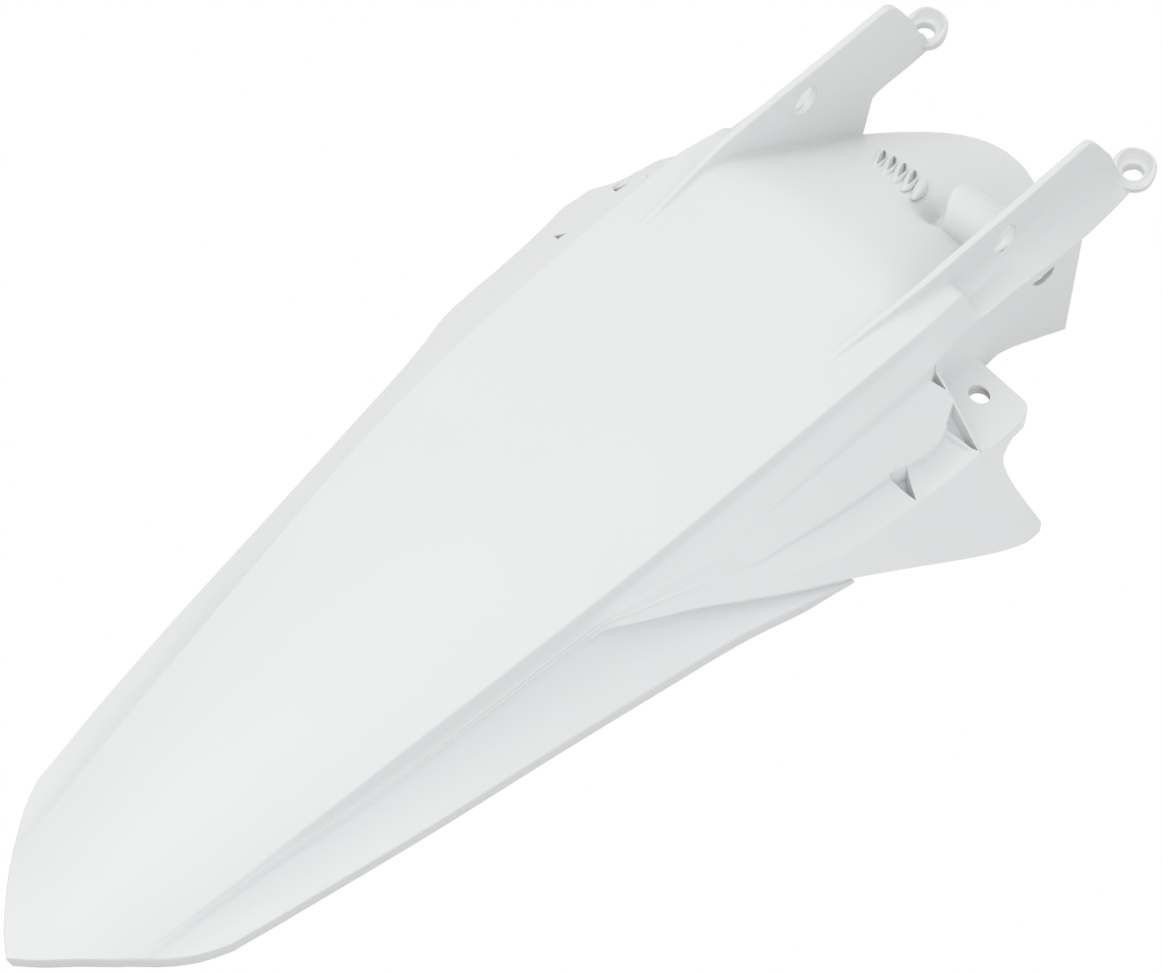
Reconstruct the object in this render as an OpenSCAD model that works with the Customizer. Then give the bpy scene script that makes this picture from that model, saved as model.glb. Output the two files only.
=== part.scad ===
// Rear fender of a motocross bike, moulded in one piece.
// It is laid out along Y from the tail (-Y) to the mounting arms (+Y), with +X on the bike's right.
// Lengths along Y are taken from the point where the deck creases leave the tail edge.

/* [Length] */
// Nose tip to the start of the deck creases
nose_len = 36; // [30:1:44]
// Crease start to the fold where the splash guard begins
fold_y = 438; // [430:1:446]
// Tips of the arm rails to the fold
rail_run = 43; // [38:1:56]
// Fold to the front corners of the splash guard
guard_len = 113; // [105:1:120]
// How far the splash guard's front edge bows out at its middle
guard_bow = 37; // [20:1:45]
// Fold to the centre of the eyelets
eyelet_run = 162; // [154:1:172]

/* [Deck] */
// Deck width at the tail, crease to crease
deck_tail_w = 69; // [60:1:76]
// Deck width half way along
deck_mid_w = 112; // [100:1:120]
// Deck width at the front, crease to crease
deck_front_w = 143; // [140:1:150]
// Rise of the deck edge from tail to front
deck_rise = 30; // [24:1:36]
// Crown of the deck above its edges
deck_crown = 7; // [4:0.5:9]
// Wall thickness of the whole moulding
wall = 2.8; // [2.2:0.1:3.4]

/* [Skirt] */
// Full width over the skirt beside the tail corner
skirt_tail_w = 115; // [108:1:120]
// Full width over the skirt where the wing closes over it
skirt_front_w = 220; // [212:1:228]
// Drop of the lip line from the crease start to the front of the skirt
skirt_drop = 22.5; // [21:0.5:24]
// Height of the rolled lip round the tail and the skirt
lip_h = 6; // [4:0.5:8]
// Depth of the step beside the deck
step_h = 6; // [4:0.5:8]
// Hollow of the skirt between the step and the lip
skirt_hollow = 3.5; // [1:0.5:5]

/* [Side panel] */
// Full width over the wing tips
wing_w = 281; // [272:1:290]
// Drop of the wing tips below the crease start
wing_drop = 64; // [58:1:70]
// Half width at the inner ridge of the side panel
inner_ridge_x = 81; // [79:0.5:83]
// Half width at the outer ridge of the side panel
outer_ridge_x = 109.5; // [108:0.5:112]
// Overhang of the wing over the skirt
wing_overhang = 3.5; // [2:0.5:4.5]
// Length of the side tab in front of the fold
tab_len = 36; // [32:1:38]
// Bore through the side tab
tab_bore_d = 10; // [8:0.5:12]
// Diameter of the boss under the tab's bore
tab_boss_d = 15; // [14:0.5:17]
// Length of the tab's bore
tab_bore_l = 6; // [5:0.5:8]

/* [Arms] */
// Width between the inner faces of the two arms
arm_gap = 113; // [108:1:115]
// Thickness of an arm's web
web_t = 3.6; // [3:0.2:4.4]
// Height of the rails above the crease start
rail_h = 34; // [32:0.5:36]
// Distance between the eyelet centres
eyelet_spacing = 124; // [122:0.5:126]
// Bore of an eyelet
eyelet_bore_d = 10; // [8:0.5:12]
// Outer diameter of an eyelet
eyelet_d = 21; // [19:0.5:23]
// Height of an eyelet
eyelet_h = 9; // [8:0.5:11]
// Diameter of the dish round an eyelet's bore
dish_d = 15.6; // [14:0.2:17]
// Depth of that dish
dish_h = 4.5; // [3:0.5:5.5]
// Bore through each arm's web
web_bore_d = 15; // [12:0.5:16]

/* [Splash guard] */
// Drop of the guard's front corners below the crease start
guard_drop = 42; // [38:1:46]
// Crown of the guard between the arms at its front edge
guard_crown = 22; // [16:1:28]
// Depth of the side walls' front corners below the crease start
side_wall_drop = 78; // [72:1:82]
// Number of vent slots
vent_n = 4; // [3:1:5]
// Distance between the vent slots
vent_pitch = 6.7; // [6.2:0.1:7.2]
// Length of a vent slot
vent_len = 20; // [17:0.5:22]
// Inner radius of the cable hump
hump_r = 9.7; // [8.5:0.1:10.5]
// Distance from the middle to the hump's mouth
hump_x = 25.5; // [24:0.5:29]

/* [Hidden] */

white = "white";
rail_tip_y = fold_y - rail_run;
root_y = fold_y + guard_len;
eyelet_y = fold_y + eyelet_run;
tab_y = fold_y + tab_len;
web_in = arm_gap / 2;
web_out = web_in + web_t;

function clamp01(t) = min(1, max(0, t));
function ease(a, b, y) = let (t = clamp01((y - a) / (b - a))) t * t * (3 - 2 * t);
function mix(a, b, t) = a + (b - a) * t;

// Smooth curve through stations [[y, value], ...], used for every line that runs along the fender
function cell(st, y, i = 0) = (i >= len(st) - 2 || y < st[i + 1][0]) ? i : cell(st, y, i + 1);
function chord(st, i) = (st[i + 1][1] - st[i][1]) / (st[i + 1][0] - st[i][0]);
function slope(st, i) =
    i == 0 ? chord(st, 0)
    : i == len(st) - 1 ? chord(st, i - 1)
    : (st[i + 1][1] - st[i - 1][1]) / (st[i + 1][0] - st[i - 1][0]);
function along(st, y) =
    let (i = cell(st, y), h = st[i + 1][0] - st[i][0], t = clamp01((y - st[i][0]) / h))
    let (a = st[i][1], b = st[i + 1][1], m = slope(st, i) * h, n = slope(st, i + 1) * h)
    a + t * (m + t * (3 * (b - a) - 2 * m - n + t * (2 * (a - b) + m + n)));

// Stations behind the fold are given as shares of the way from the crease start to the fold
function shares(st) = [for (p = st) [p[0] * fold_y, p[1]]];
// Half of a width between two full widths a and b
function half(a, b, t) = mix(a, b, t) / 2;

// Deck edge: half width and height
edge_x = shares([[0, deck_tail_w / 2], [0.16, half(deck_tail_w, deck_mid_w, 0.488)],
    [0.3425, half(deck_tail_w, deck_mid_w, 0.953)], [0.507, half(deck_mid_w, deck_front_w, 0.484)],
    [0.6165, half(deck_mid_w, deck_front_w, 0.742)], [0.7306, deck_front_w / 2 - 1.8],
    [0.8904, deck_front_w / 2 - 0.3], [1, deck_front_w / 2 + 0.5]]);
edge_z = concat([[-nose_len, 3.4]], shares([[0, 0], [0.1918, 0.33 * deck_rise], [0.3584, 0.62 * deck_rise],
    [0.507, 0.85 * deck_rise], [0.6165, 0.95 * deck_rise], [0.7306, deck_rise],
    [rail_tip_y / fold_y, deck_rise - 0.4], [1, deck_rise - 1.4]]));
crown = concat([[-nose_len, 0]], shares([[0, deck_crown], [0.4566, deck_crown],
    [rail_tip_y / fold_y, deck_crown - 1.6], [1, deck_crown - 2]]));
// Depth of the step outside the deck edge
step_z = shares([[0, 0.3], [0.137, 0.3 * step_h], [0.24, step_h - 0.5], [0.32, step_h + 0.8],
    [0.502, step_h], [1, step_h - 0.8]]);
// Lip line of the skirt: half width and height, from the tail corner forward
corner_y = 0.0822 * fold_y;
skirt_x = [for (p = [[0.0822, 0], [0.178, 0.162], [0.306, 0.352], [0.436, 0.524], [0.5685, 0.705],
    [0.669, 0.848], [0.7466, 1], [0.799, 1.076]]) [p[0] * fold_y, half(skirt_tail_w, skirt_front_w, p[1])]];
skirt_z = [for (p = [[0, 0], [0.0228, 0.09], [0.0822, 0.222], [0.178, 0.267], [0.306, 0.373], [0.436, 0.48],
    [0.5685, 0.613], [0.669, 0.733], [0.7466, 0.889], [0.799, 1]]) [p[0] * fold_y, -p[1] * skirt_drop]];
// Free edge of the wing: half width and height
wing_start_y = 0.5434 * fold_y;
wing_close_y = 0.7877 * fold_y;
wing_x = [for (p = [[0.5434, 0.5125], [0.5776, 0.555], [0.6393, 0.6265], [0.678, 0.678], [0.7374, 0.7544],
    [0.7877, 0.8007], [0.8607, 0.8655], [0.9498, 0.9502], [1, 0.9929], [1.032, 1]])
    [p[0] * fold_y, p[1] * wing_w / 2]];
wing_z = [for (p = [[0.5434, 0], [0.5776, 0.0566], [0.6393, 0.1572], [0.678, 0.2327], [0.7374, 0.3459],
    [0.7877, 0.4591], [0.8607, 0.6604], [0.9498, 0.8994], [1, 0.9937], [1.032, 1]])
    [p[0] * fold_y, mix(0.517 * deck_rise, -wing_drop, p[1])]];
wing_root = 0.22;
// Shares of the way from the outer ridge to the free edge
wing_share = [0.08, 0.22, 0.45, 0.72, 1];

// Rails and the deck strip outside them
rail_in = [[rail_tip_y, web_in - 4.5], [fold_y + 12, web_in - 0.4], [fold_y + 32, web_in], [root_y, web_in]];
rail_z = [[rail_tip_y, deck_rise + 2.2], [fold_y - 13, rail_h], [fold_y + 32, rail_h + 1.2],
    [fold_y + 84, rail_h], [root_y + 11, rail_h - 0.4], [eyelet_y - 26, 0.65 * rail_h],
    [eyelet_y - 17, 0.3 * rail_h], [eyelet_y - 8, -8], [eyelet_y + 6, -10]];
strip_z = [[fold_y, deck_rise - 0.6], [fold_y + 24, deck_rise - 3], [fold_y + 33, deck_rise - 5],
    [fold_y + 40, rail_h / 2], [fold_y + 44, rail_h / 2 - 1], [fold_y + 84, 0.4 * rail_h],
    [root_y, 0.32 * rail_h], [eyelet_y - 26, 4], [eyelet_y - 8, -10], [eyelet_y + 6, -12]];
flank_x = [[fold_y, deck_front_w / 2 + 0.5], [fold_y + 24, deck_front_w / 2 - 1.5],
    [fold_y + 33, deck_front_w / 2 - 2.5], [fold_y + 41, web_out + 5.4], [fold_y + 84, web_out + 3.9],
    [eyelet_y, web_out + 2.9]];
flank_z = [[fold_y, deck_rise - 1.4], [fold_y + 24, deck_rise - 5], [fold_y + 33, deck_rise - 8],
    [fold_y + 41, 9], [fold_y + 84, 3], [root_y, -2], [eyelet_y - 26, -9], [eyelet_y - 8, -15],
    [eyelet_y + 6, -16]];
// Outer edge of the arm's lower flange
flange_x = [[fold_y, inner_ridge_x], [fold_y + 10, inner_ridge_x - 1], [fold_y + 27, inner_ridge_x - 5],
    [fold_y + 58, inner_ridge_x - 8], [fold_y + 89, inner_ridge_x - 10], [root_y, web_out + 9.2],
    [root_y + 21, web_out + 7.9], [eyelet_y + 6, web_out + 5.9]];
flange_z = [[fold_y, 14.2], [fold_y + 10, 13], [fold_y + 27, 7], [fold_y + 58, 0], [fold_y + 89, -10],
    [root_y, -16.5], [root_y + 21, -18.5], [eyelet_y - 12, -19.5], [eyelet_y + 6, -18]];
// Lower edge of the arm in front of the splash guard, and lower edge of the side wall
arm_foot_z = [[root_y + 6, -19], [root_y + 10, -17.5], [eyelet_y - 12, -18], [eyelet_y + 6, -16.2]];
side_foot_z = [[fold_y, 11], [fold_y + 5, -0.23 * side_wall_drop], [fold_y + 9, -0.385 * side_wall_drop],
    [fold_y + 14, -0.449 * side_wall_drop], [fold_y + 37, -0.48 * side_wall_drop],
    [fold_y + 46, -0.5 * side_wall_drop], [fold_y + 59, -0.53 * side_wall_drop],
    [fold_y + 89, -0.78 * side_wall_drop], [root_y, -side_wall_drop]];
// Splash guard: height where it meets the arms, and its crown
guard_z = [[fold_y, deck_rise + 1], [fold_y + 14, deck_rise - 4], [fold_y + 27, 0.6 * deck_rise],
    [fold_y + 55, -2], [fold_y + 83, -0.52 * guard_drop], [root_y, -guard_drop],
    [root_y + guard_bow, -guard_drop - 0.72 * guard_bow]];
guard_c = [[fold_y, deck_crown - 4], [fold_y + 27, 9], [fold_y + 55, 14], [fold_y + 83, guard_crown - 4],
    [root_y, guard_crown], [root_y + guard_bow, guard_crown + 0.15 * guard_bow]];

// Lines of the moulding from the middle to the right edge
RAIL_IN = 5;
RAIL_TOP_IN = RAIL_IN + 1;
RAIL_TOP_OUT = RAIL_IN + 2;
RAIL_OUT = RAIL_IN + 3;
EDGE = RAIL_IN + 4;
STEP = RAIL_IN + 5;
RIDGE = RAIL_IN + 6;
SIDE_FOOT = RAIL_IN + 7;
RIDGE_FOOT = RAIL_IN + 8;
PANEL = RAIL_IN + 9;
PANEL_EDGE = RAIL_IN + 10;
PANEL_FOOT = RAIL_IN + 11;
POCKET = RAIL_IN + 12;
RIDGE_2 = RAIL_IN + 13;
WING_IN = RAIL_IN + 14;
WING_EDGE = RAIL_IN + 18;
WING_UNDER = RAIL_IN + 19;
UNDERCUT = RAIL_IN + 20;
SKIRT = RAIL_IN + 21;
LIP = RAIL_IN + 22;
LIP_FOOT = RAIL_IN + 23;
lines = LIP_FOOT + 1;

// Deck surface and the point on it at a share u of its half width
function deck_z(x, y) = along(edge_z, y) + along(crown, y) * (1 - pow(x / along(edge_x, y), 2));
function rail_share(y) = y < rail_tip_y ? 0.73 : along(rail_in, y) / along(edge_x, y);
function guard_h(x, y) = along(guard_z, y) + along(guard_c, y) * (1 - pow(x / web_in, 2));

// Foot of the step, lip and skirt in the section at y
function step_foot(y) = let (d = along(step_z, y))
    [along(edge_x, y) + 0.5 + 0.22 * d, along(edge_z, y) - d];
function lip_top(y) = [along(skirt_x, y), along(skirt_z, y)];
function skirt_pt(v, y) = let (a = step_foot(y), b = lip_top(y), c = b - a)
    mix(a, b, v) + 4 * v * (1 - v) * skirt_hollow * [c[1], -c[0]] / norm(c);
function wing_pt(y) = y < wing_start_y ? skirt_pt(wing_root, y) : [along(wing_x, y), along(wing_z, y)];
function panel_pt(v, y) = mix(step_foot(y), wing_pt(y), v);
function share_at(x, y, most) = let (a = step_foot(y)[0], b = wing_pt(y)[0]) min(most, (x - a) / (b - a));

// Depths of the panel's small steps
function ridge_drop(y) = 0.2 + 5.3 * pow(clamp01((y - 0.685 * fold_y) / (0.315 * fold_y)), 1.4);
function panel_drop(y) =
    0.2 + 2.6 * ease(0.73 * fold_y, fold_y - 38, y) + 2.5 * ease(fold_y - 38, fold_y - 28, y);
function pocket_drop(y) = 3.5 * ease(fold_y - 38, fold_y - 26, y);
panel_line = shares([[0.7306, inner_ridge_x + 10.5], [0.7968, inner_ridge_x + 13.4],
    [0.8516, inner_ridge_x + 15], [0.9064, inner_ridge_x + 16.3], [1, inner_ridge_x + 16.5]]);
ridge_2_line = concat(shares([[0.799, outer_ridge_x - 3.3], [0.8836, outer_ridge_x - 1.5],
    [1, outer_ridge_x + 0.3]]), [[tab_y, outer_ridge_x + 0.7]]);

function skirt_lines(k, y) =
    let (open = ease(wing_start_y, 0.685 * fold_y, y), w = wing_pt(y))
    let (over = 0.3 + wing_overhang * open)
    let (a = step_foot(y)[0], b = lip_top(y)[0])
    let (v = y < wing_start_y ? wing_root + 0.04 : (w[0] - over - a) / (b - a))
    k == WING_UNDER ? w - [0.3, 0.3 + 1.6 * open]
    : k == UNDERCUT ? skirt_pt(v, y)
    : k == SKIRT ? skirt_pt(mix(v, 1, 0.5), y)
    : k == LIP ? lip_top(y)
    : lip_top(y) - [0, lip_h];

function panel_lines(k, y) =
    let (r1 = share_at(inner_ridge_x, y, 0.36), r2 = share_at(along(panel_line, y), y, 0.62))
    let (r3 = share_at(along(ridge_2_line, y), y, 0.82))
    let (spread = 0.06 * (1 - ease(0.64 * fold_y, 0.753 * fold_y, y)))
    k == RIDGE ? panel_pt(r1 * (1 - spread), y)
    : k == SIDE_FOOT ? panel_pt(r1, y) + 0.5 * [0.3 + 0.3 * ridge_drop(y), -ridge_drop(y)]
    : k == RIDGE_FOOT ? panel_pt(r1 * (1 + spread), y) + [0.3 + 0.3 * ridge_drop(y), -ridge_drop(y)]
    : k == PANEL ? panel_pt(mix(r1, r2, 0.5), y)
    : k == PANEL_EDGE ? panel_pt(r2, y)
    : k == PANEL_FOOT ? panel_pt(r2, y) + [0.4, -panel_drop(y)]
    : k == POCKET ? panel_pt(mix(r2, r3, 0.5), y) - [0, pocket_drop(y)]
    : k == RIDGE_2 ? panel_pt(r3, y)
    : panel_pt(mix(r3, 1, wing_share[k - WING_IN]), y);

function deck_lines(k, y) =
    let (a = along(edge_x, y), in_x = rail_share(y) * a)
    let (out_x = in_x + (y < rail_tip_y ? mix(2, web_t, clamp01(y / rail_tip_y)) : web_t))
    let (top = y < rail_tip_y ? 0 : along(rail_z, y) - deck_z(in_x, y))
    let (x = k <= RAIL_IN ? in_x * k / RAIL_IN
        : k == RAIL_TOP_IN ? in_x + 0.4
        : k == RAIL_TOP_OUT ? out_x - 0.4
        : k == RAIL_OUT ? out_x : a)
    k == STEP ? step_foot(y)
    : [x, deck_z(x, y) + (k == RAIL_TOP_IN || k == RAIL_TOP_OUT ? max(0, top) : 0)];

// Section point [x, z] of line k at y, up to the fold
function rear_pt(k, y) =
    k <= STEP ? deck_lines(k, y)
    : k <= WING_EDGE ? panel_lines(k, y)
    : skirt_lines(k, y);

// In front of the fold the middle lines become the splash guard, the arm and its flange
function front_pt(k, y) =
    let (x_in = along(rail_in, y), draft = 0.4 * ease(fold_y + 32, fold_y, y))
    k < RAIL_IN || (k == RAIL_IN && y <= root_y + 0.1)
        ? let (x = x_in * k / RAIL_IN) [x, guard_h(x, y)]
    : k == RAIL_IN ? [x_in, along(arm_foot_z, y)]
    : k == RAIL_TOP_IN ? [x_in + draft, along(rail_z, y)]
    : k == RAIL_TOP_OUT ? [x_in + web_t - draft, along(rail_z, y)]
    : k == RAIL_OUT ? [x_in + web_t, along(strip_z, y)]
    : k == EDGE ? [along(flank_x, y), along(flank_z, y)]
    : k == STEP ? mix([along(flank_x, y), along(flank_z, y)], [along(flange_x, y), along(flange_z, y)],
        mix(0.28, 0.5, ease(fold_y, fold_y + 42, y)))
    : k == RIDGE ? [along(flange_x, y), along(flange_z, y)]
    : [along(flange_x, y), along(side_foot_z, y)];

// The front of the wing lies in front of the fold, from the outer ridge to the wing tip
wing_front = [[outer_ridge_x - 3.5, tab_y - 1, 0], [outer_ridge_x + 1.8, tab_y - 10.1, -0.519 * wing_drop],
    [outer_ridge_x + 4.4, fold_y + 14.1, -0.536 * wing_drop],
    [outer_ridge_x + 13.6, fold_y + 8, -0.645 * wing_drop],
    [outer_ridge_x + 22, fold_y + 10.3, -0.82 * wing_drop], [wing_w / 2, fold_y + 14, -wing_drop]];
// The outer edge of the side tab, which the wing joins there
tab_edge = [[fold_y, outer_ridge_x + 0.3], [tab_y - 22, outer_ridge_x + 0.5], [tab_y - 8, outer_ridge_x - 0.9],
    [tab_y - 1, outer_ridge_x - 3.5]];
function tab_edge_pt(s) = let (y = mix(fold_y, tab_y - 1, s)) [along(tab_edge, y), y];
function side_pt(k, s) =
    let (a = panel_lines(k, fold_y), b = wing_front[k - RIDGE_2], e = tab_edge_pt(s))
    k == RIDGE_2 ? [e[0], e[1], mix(a[1], tab_z(e[0], e[1]), clamp01(s * tab_n))]
    : [mix(a[0], b[0], s), mix(fold_y, b[1], s), mix(a[1], b[2], s)];

// Where each line starts on the edge of the nose
function start_y(k) =
    k <= EDGE ? -nose_len * (1 - pow(rear_pt(k, 0)[0] / (deck_tail_w / 2), 1.2))
    : let (a = deck_tail_w / 2 + 1.5, v = (rear_pt(min(k, LIP), corner_y)[0] - a) / (skirt_tail_w / 2 - a))
        corner_y * pow(clamp01(v), 1.3);

// Stations: the rolled edge, shares of the way to the fold, then rows beyond it
rear_s = concat([0], [0.012, 0.03, 0.055], [for (i = [1:1:10]) 0.055 + 0.05395 * i],
    [for (i = [1:1:14]) 0.5945 + 0.028965 * i]);
guard_s = [0, 0.08, 0.15, 0.21, 0.26, 0.31, 0.345, 0.38, 0.45, 0.54, 0.65, 0.76, 0.88, 1];
guard_n = len(guard_s) - 1;
arm_n = 7;
tab_n = 6;
fold_i = len(rear_s);
root_i = fold_i + guard_n;
last_i = root_i + arm_n;
close_i = fold_i - 7;

function front_y(i, k) =
    i <= root_i ? mix(fold_y, root_y + (k < RAIL_IN ? guard_bow * (1 - pow(k / RAIL_IN, 2)) : 0),
        guard_s[i - fold_i])
    : mix(root_y + 6, eyelet_y + 6, (i - root_i - 1) / (arm_n - 1));

// Point of line k in row i on the outer skin
function outer(i, k) =
    k > WING_EDGE && i > close_i ? outer(i, WING_EDGE)
    : i == 0 ? let (p = outer(1, k), v = clamp01(1 - p[0] / (skirt_tail_w / 2)))
        [p[0], p[1] + 3 * v, k >= LIP ? lip_top(corner_y)[1] - lip_h : p[2] - lip_h - 3 * v]
    : i <= fold_i ? let (y = mix(start_y(k), fold_y, rear_s[i - 1]), p = rear_pt(k, max(0, y)))
        [p[0], y, y >= 0 ? p[1] : nose_top(k, y)]
    : k < RAIL_IN && i > root_i ? outer(i, RAIL_IN)
    : k <= SIDE_FOOT ? let (y = front_y(i, k), p = front_pt(k, y)) [p[0], y, p[1]]
    : side_pt(max(k, RIDGE_2), min(1, (i - fold_i) / tab_n));
// Ahead of the crease start the deck narrows to the nose
function nose_top(k, y) = let (u = rear_pt(k, 0)[0] / (deck_tail_w / 2))
    along(edge_z, y) + along(crown, 0) * (1 - u * u) * clamp01(1 + y / nose_len);

// Direction in which the wall thickness is laid off
lean = concat([for (k = [0:RAIL_IN]) 5 * k / RAIL_IN],
    [5, 5, 20, 28, 38, 48, 46, 44, 46, 48, 50, 52, 50, 52, 54, 54, 55, 56, 56, 56, 52, 50, 50]);
function inner(i, k) =
    let (p = outer(i, k))
    let (open = i > close_i ? 0 : ease(wing_start_y, wing_start_y + 24, p[1]))
    let (turn = i <= fold_i ? lean[k]
        : k == SIDE_FOOT ? 90
        : k == RIDGE ? 62
        : k >= RIDGE_2 && k <= WING_IN + 1 ? mix(lean[k], 18, clamp01((i - fold_i) / tab_n))
        : lean[k])
    let (off = wall * [-sin(turn), 0, -cos(turn)])
    i == 0 ? p + [k >= LIP ? -wall : 0, wall, 0]
    : i == 1 ? p + [k >= LIP ? -wall : 0, wall, k == LIP_FOOT ? 0 : -wall]
    : k == LIP_FOOT ? p + [-wall, 0, 0]
    : k == RAIL_TOP_IN ? let (q = outer(i, RAIL_IN)) q + [0.9, p[1] - q[1], -wall]
    : k == RAIL_TOP_OUT ? let (q = outer(i, RAIL_OUT), g = outer(i, RAIL_IN))
        [q[0] - 0.7, p[1], g[2] - wall]
    : k == RAIL_OUT ? p + [-0.1, 0, -wall]
    : k == WING_EDGE || k == WING_UNDER ? let (u = outer(i, UNDERCUT))
        mix(p + off, u + off + (UNDERCUT - k) * [-0.5, 0, 0.7], open)
    : p + off;

// Grid of the right half and its mirror image
cols = 2 * lines - 1;
function side(c) = c < lines ? 1 : -1;
function line_of(c) = abs(c - (lines - 1));
function flip(p, c) = c < lines - 1 ? [-p[0], p[1], p[2]] : p;
function used(i, j) =
    j < RAIL_IN ? i < root_i
    : j < RIDGE ? true
    : j == RIDGE ? i < root_i
    : j < RIDGE_2 ? i < fold_i
    : j < WING_EDGE ? i < fold_i + tab_n
    : i < close_i;
function cell_on(i, c) = i >= 0 && i < last_i && c >= 0 && c < cols - 1
    && used(i, min(line_of(c), line_of(c + 1)));

module shell() {
    rows = last_i + 1;
    top = [for (i = [0:rows - 1]) for (c = [0:cols - 1]) flip(outer(i, line_of(c)), c)];
    under = [for (i = [0:rows - 1]) for (c = [0:cols - 1]) flip(inner(i, line_of(c)), c)];
    n = len(top);
    function at(i, c) = i * cols + c;
    skin = [for (i = [0:rows - 2]) for (c = [0:cols - 2]) if (cell_on(i, c))
        each [[at(i, c), at(i + 1, c), at(i + 1, c + 1)], [at(i, c), at(i + 1, c + 1), at(i, c + 1)]]];
    back = [for (f = skin) [f[2] + n, f[1] + n, f[0] + n]];
    function wall_faces(a, b) = [[b, a, a + n], [b, a + n, b + n]];
    rim = [for (i = [0:rows - 2]) for (c = [0:cols - 2]) if (cell_on(i, c)) each concat(
        cell_on(i - 1, c) ? [] : wall_faces(at(i, c + 1), at(i, c)),
        cell_on(i + 1, c) ? [] : wall_faces(at(i + 1, c), at(i + 1, c + 1)),
        cell_on(i, c - 1) ? [] : wall_faces(at(i, c), at(i + 1, c)),
        cell_on(i, c + 1) ? [] : wall_faces(at(i + 1, c + 1), at(i, c + 1)))];
    polyhedron(concat(top, under), concat(skin, back, rim), convexity = 12);
}

// Everything below the middle of the splash guard's wall, to trim what stands on the guard
module below_guard() {
    nx = 12;
    ny = 16;
    function px(c) = mix(-web_in - 1, web_in + 1, c / nx);
    function py(r) = mix(fold_y + 32, root_y + 4, r / ny);
    top = [for (r = [0:ny]) for (c = [0:nx]) [px(c), py(r), guard_h(px(c), py(r)) - 0.4 * wall]];
    low = [for (p = top) [p[0], p[1], -120]];
    n = len(top);
    function at(r, c) = r * (nx + 1) + c;
    lid = [for (r = [0:ny - 1]) for (c = [0:nx - 1])
        each [[at(r, c), at(r + 1, c), at(r + 1, c + 1)], [at(r, c), at(r + 1, c + 1), at(r, c + 1)]]];
    function band(a, b) = [[b, a, a + n], [b, a + n, b + n]];
    ring = concat(
        [for (c = [0:nx - 1]) each band(at(0, c + 1), at(0, c))],
        [for (c = [0:nx - 1]) each band(at(ny, c), at(ny, c + 1))],
        [for (r = [0:ny - 1]) each band(at(r, 0), at(r + 1, 0))],
        [for (r = [0:ny - 1]) each band(at(r + 1, nx), at(r, nx))]);
    polyhedron(concat(top, low), concat(lid, [for (f = lid) [f[2] + n, f[1] + n, f[0] + n]], ring));
}

// Hump for a cable, on the right of the splash guard, running down and forward to the side wall
hump_y = fold_y + 80;
hump_z = 3;
hump_turn = atan2(7, 45.5);
hump_dip = atan2(12, 45.5);
module along_hump(from, to) {
    translate([hump_x, hump_y, hump_z])
        rotate([0, hump_dip, hump_turn])
            rotate([0, 90, 0])
                translate([0, 0, from])
                    linear_extrude(to - from) children();
}
module hump_profile(r, foot) {
    circle(r, $fn = 48);
    translate([0, -r])
        square([foot, 2 * r]);
}
module hump() difference() {
    along_hump(0, web_in - hump_x + 4) hump_profile(hump_r + wall, 34);
    below_guard();
    translate([web_in + web_t / 2, hump_y - 40, -60])
        cube([30, 80, 90]);
}

// Eyelet at the tip of an arm
module eyelet(s) translate([s * eyelet_spacing / 2, eyelet_y, -10 - eyelet_h])
    cylinder(h = eyelet_h, d = eyelet_d, $fn = 48);
module eyelet_bore(s) translate([s * eyelet_spacing / 2, eyelet_y, -10]) {
    translate([0, 0, -dish_h])
        cylinder(h = 40, d = dish_d, $fn = 48);
    translate([0, 0, -40])
        cylinder(h = 50, d = eyelet_bore_d, $fn = 40);
}

// Side tab: a flat plate between the wing and the side wall, leaning a little outward and forward
tab_o = [outer_ridge_x - 3.5, tab_y, -wing_drop / 2];
tab_lean = [-11.8, 13.2, 0];
tab_e1 = [cos(tab_lean[1]), 0, -sin(tab_lean[1])];
tab_e2 = [sin(tab_lean[0]) * sin(tab_lean[1]), cos(tab_lean[0]), sin(tab_lean[0]) * cos(tab_lean[1])];
tab_n3 = cross(tab_e1, tab_e2);
function tab_z(x, y) = tab_o[2] - (tab_n3[0] * (x - tab_o[0]) + tab_n3[1] * (y - tab_o[1])) / tab_n3[2];
function on_tab(p) = let (d = [p[0], p[1], tab_z(p[0], p[1])] - tab_o) [d * tab_e1, d * tab_e2];
tab_plan = concat([[inner_ridge_x - 5, tab_y - 16], [inner_ridge_x + 2.3, tab_y - 22.7],
    [outer_ridge_x - 1.5, fold_y + 2.6], [outer_ridge_x + 0.1, fold_y + 2]],
    [for (i = [1:tab_n]) tab_edge_pt(i / tab_n) - [0.3, 0]],
    [[outer_ridge_x - 6.5, tab_y], [inner_ridge_x - 0.5, tab_y + 3], [inner_ridge_x - 7, tab_y + 3.6],
    [inner_ridge_x - 7, tab_y - 8]]);
tab_c = [inner_ridge_x + 7, tab_y - 11];
module tab() {
    translate(tab_o)
        rotate(tab_lean)
            translate([0, 0, -wall])
                linear_extrude(wall) polygon([for (p = tab_plan) on_tab(p)]);
    intersection() {
        translate([tab_c[0], tab_c[1], tab_z(tab_c[0], tab_c[1]) - tab_bore_l])
            cylinder(h = tab_bore_l + 3, d = tab_boss_d, $fn = 48);
        translate(tab_o)
            rotate(tab_lean)
                translate([-60, -60, -40 - wall / 2])
                    cube([100, 100, 40]);
    }
}

module vent_spot(i) {
    x = -22.2 + i * vent_pitch;
    y = fold_y + 86.4 - 0.55 * i;
    translate([x, y, guard_h(x, y)])
        rotate([-33, 0, 29]) children();
}

module web_bores() for (s = [-1, 1])
    translate([s * (web_in - 0.6), fold_y + 71.3, rail_h - 16.4])
        rotate([0, s * 90, 0])
            cylinder(h = 11, d = web_bore_d, $fn = 48);

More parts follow.
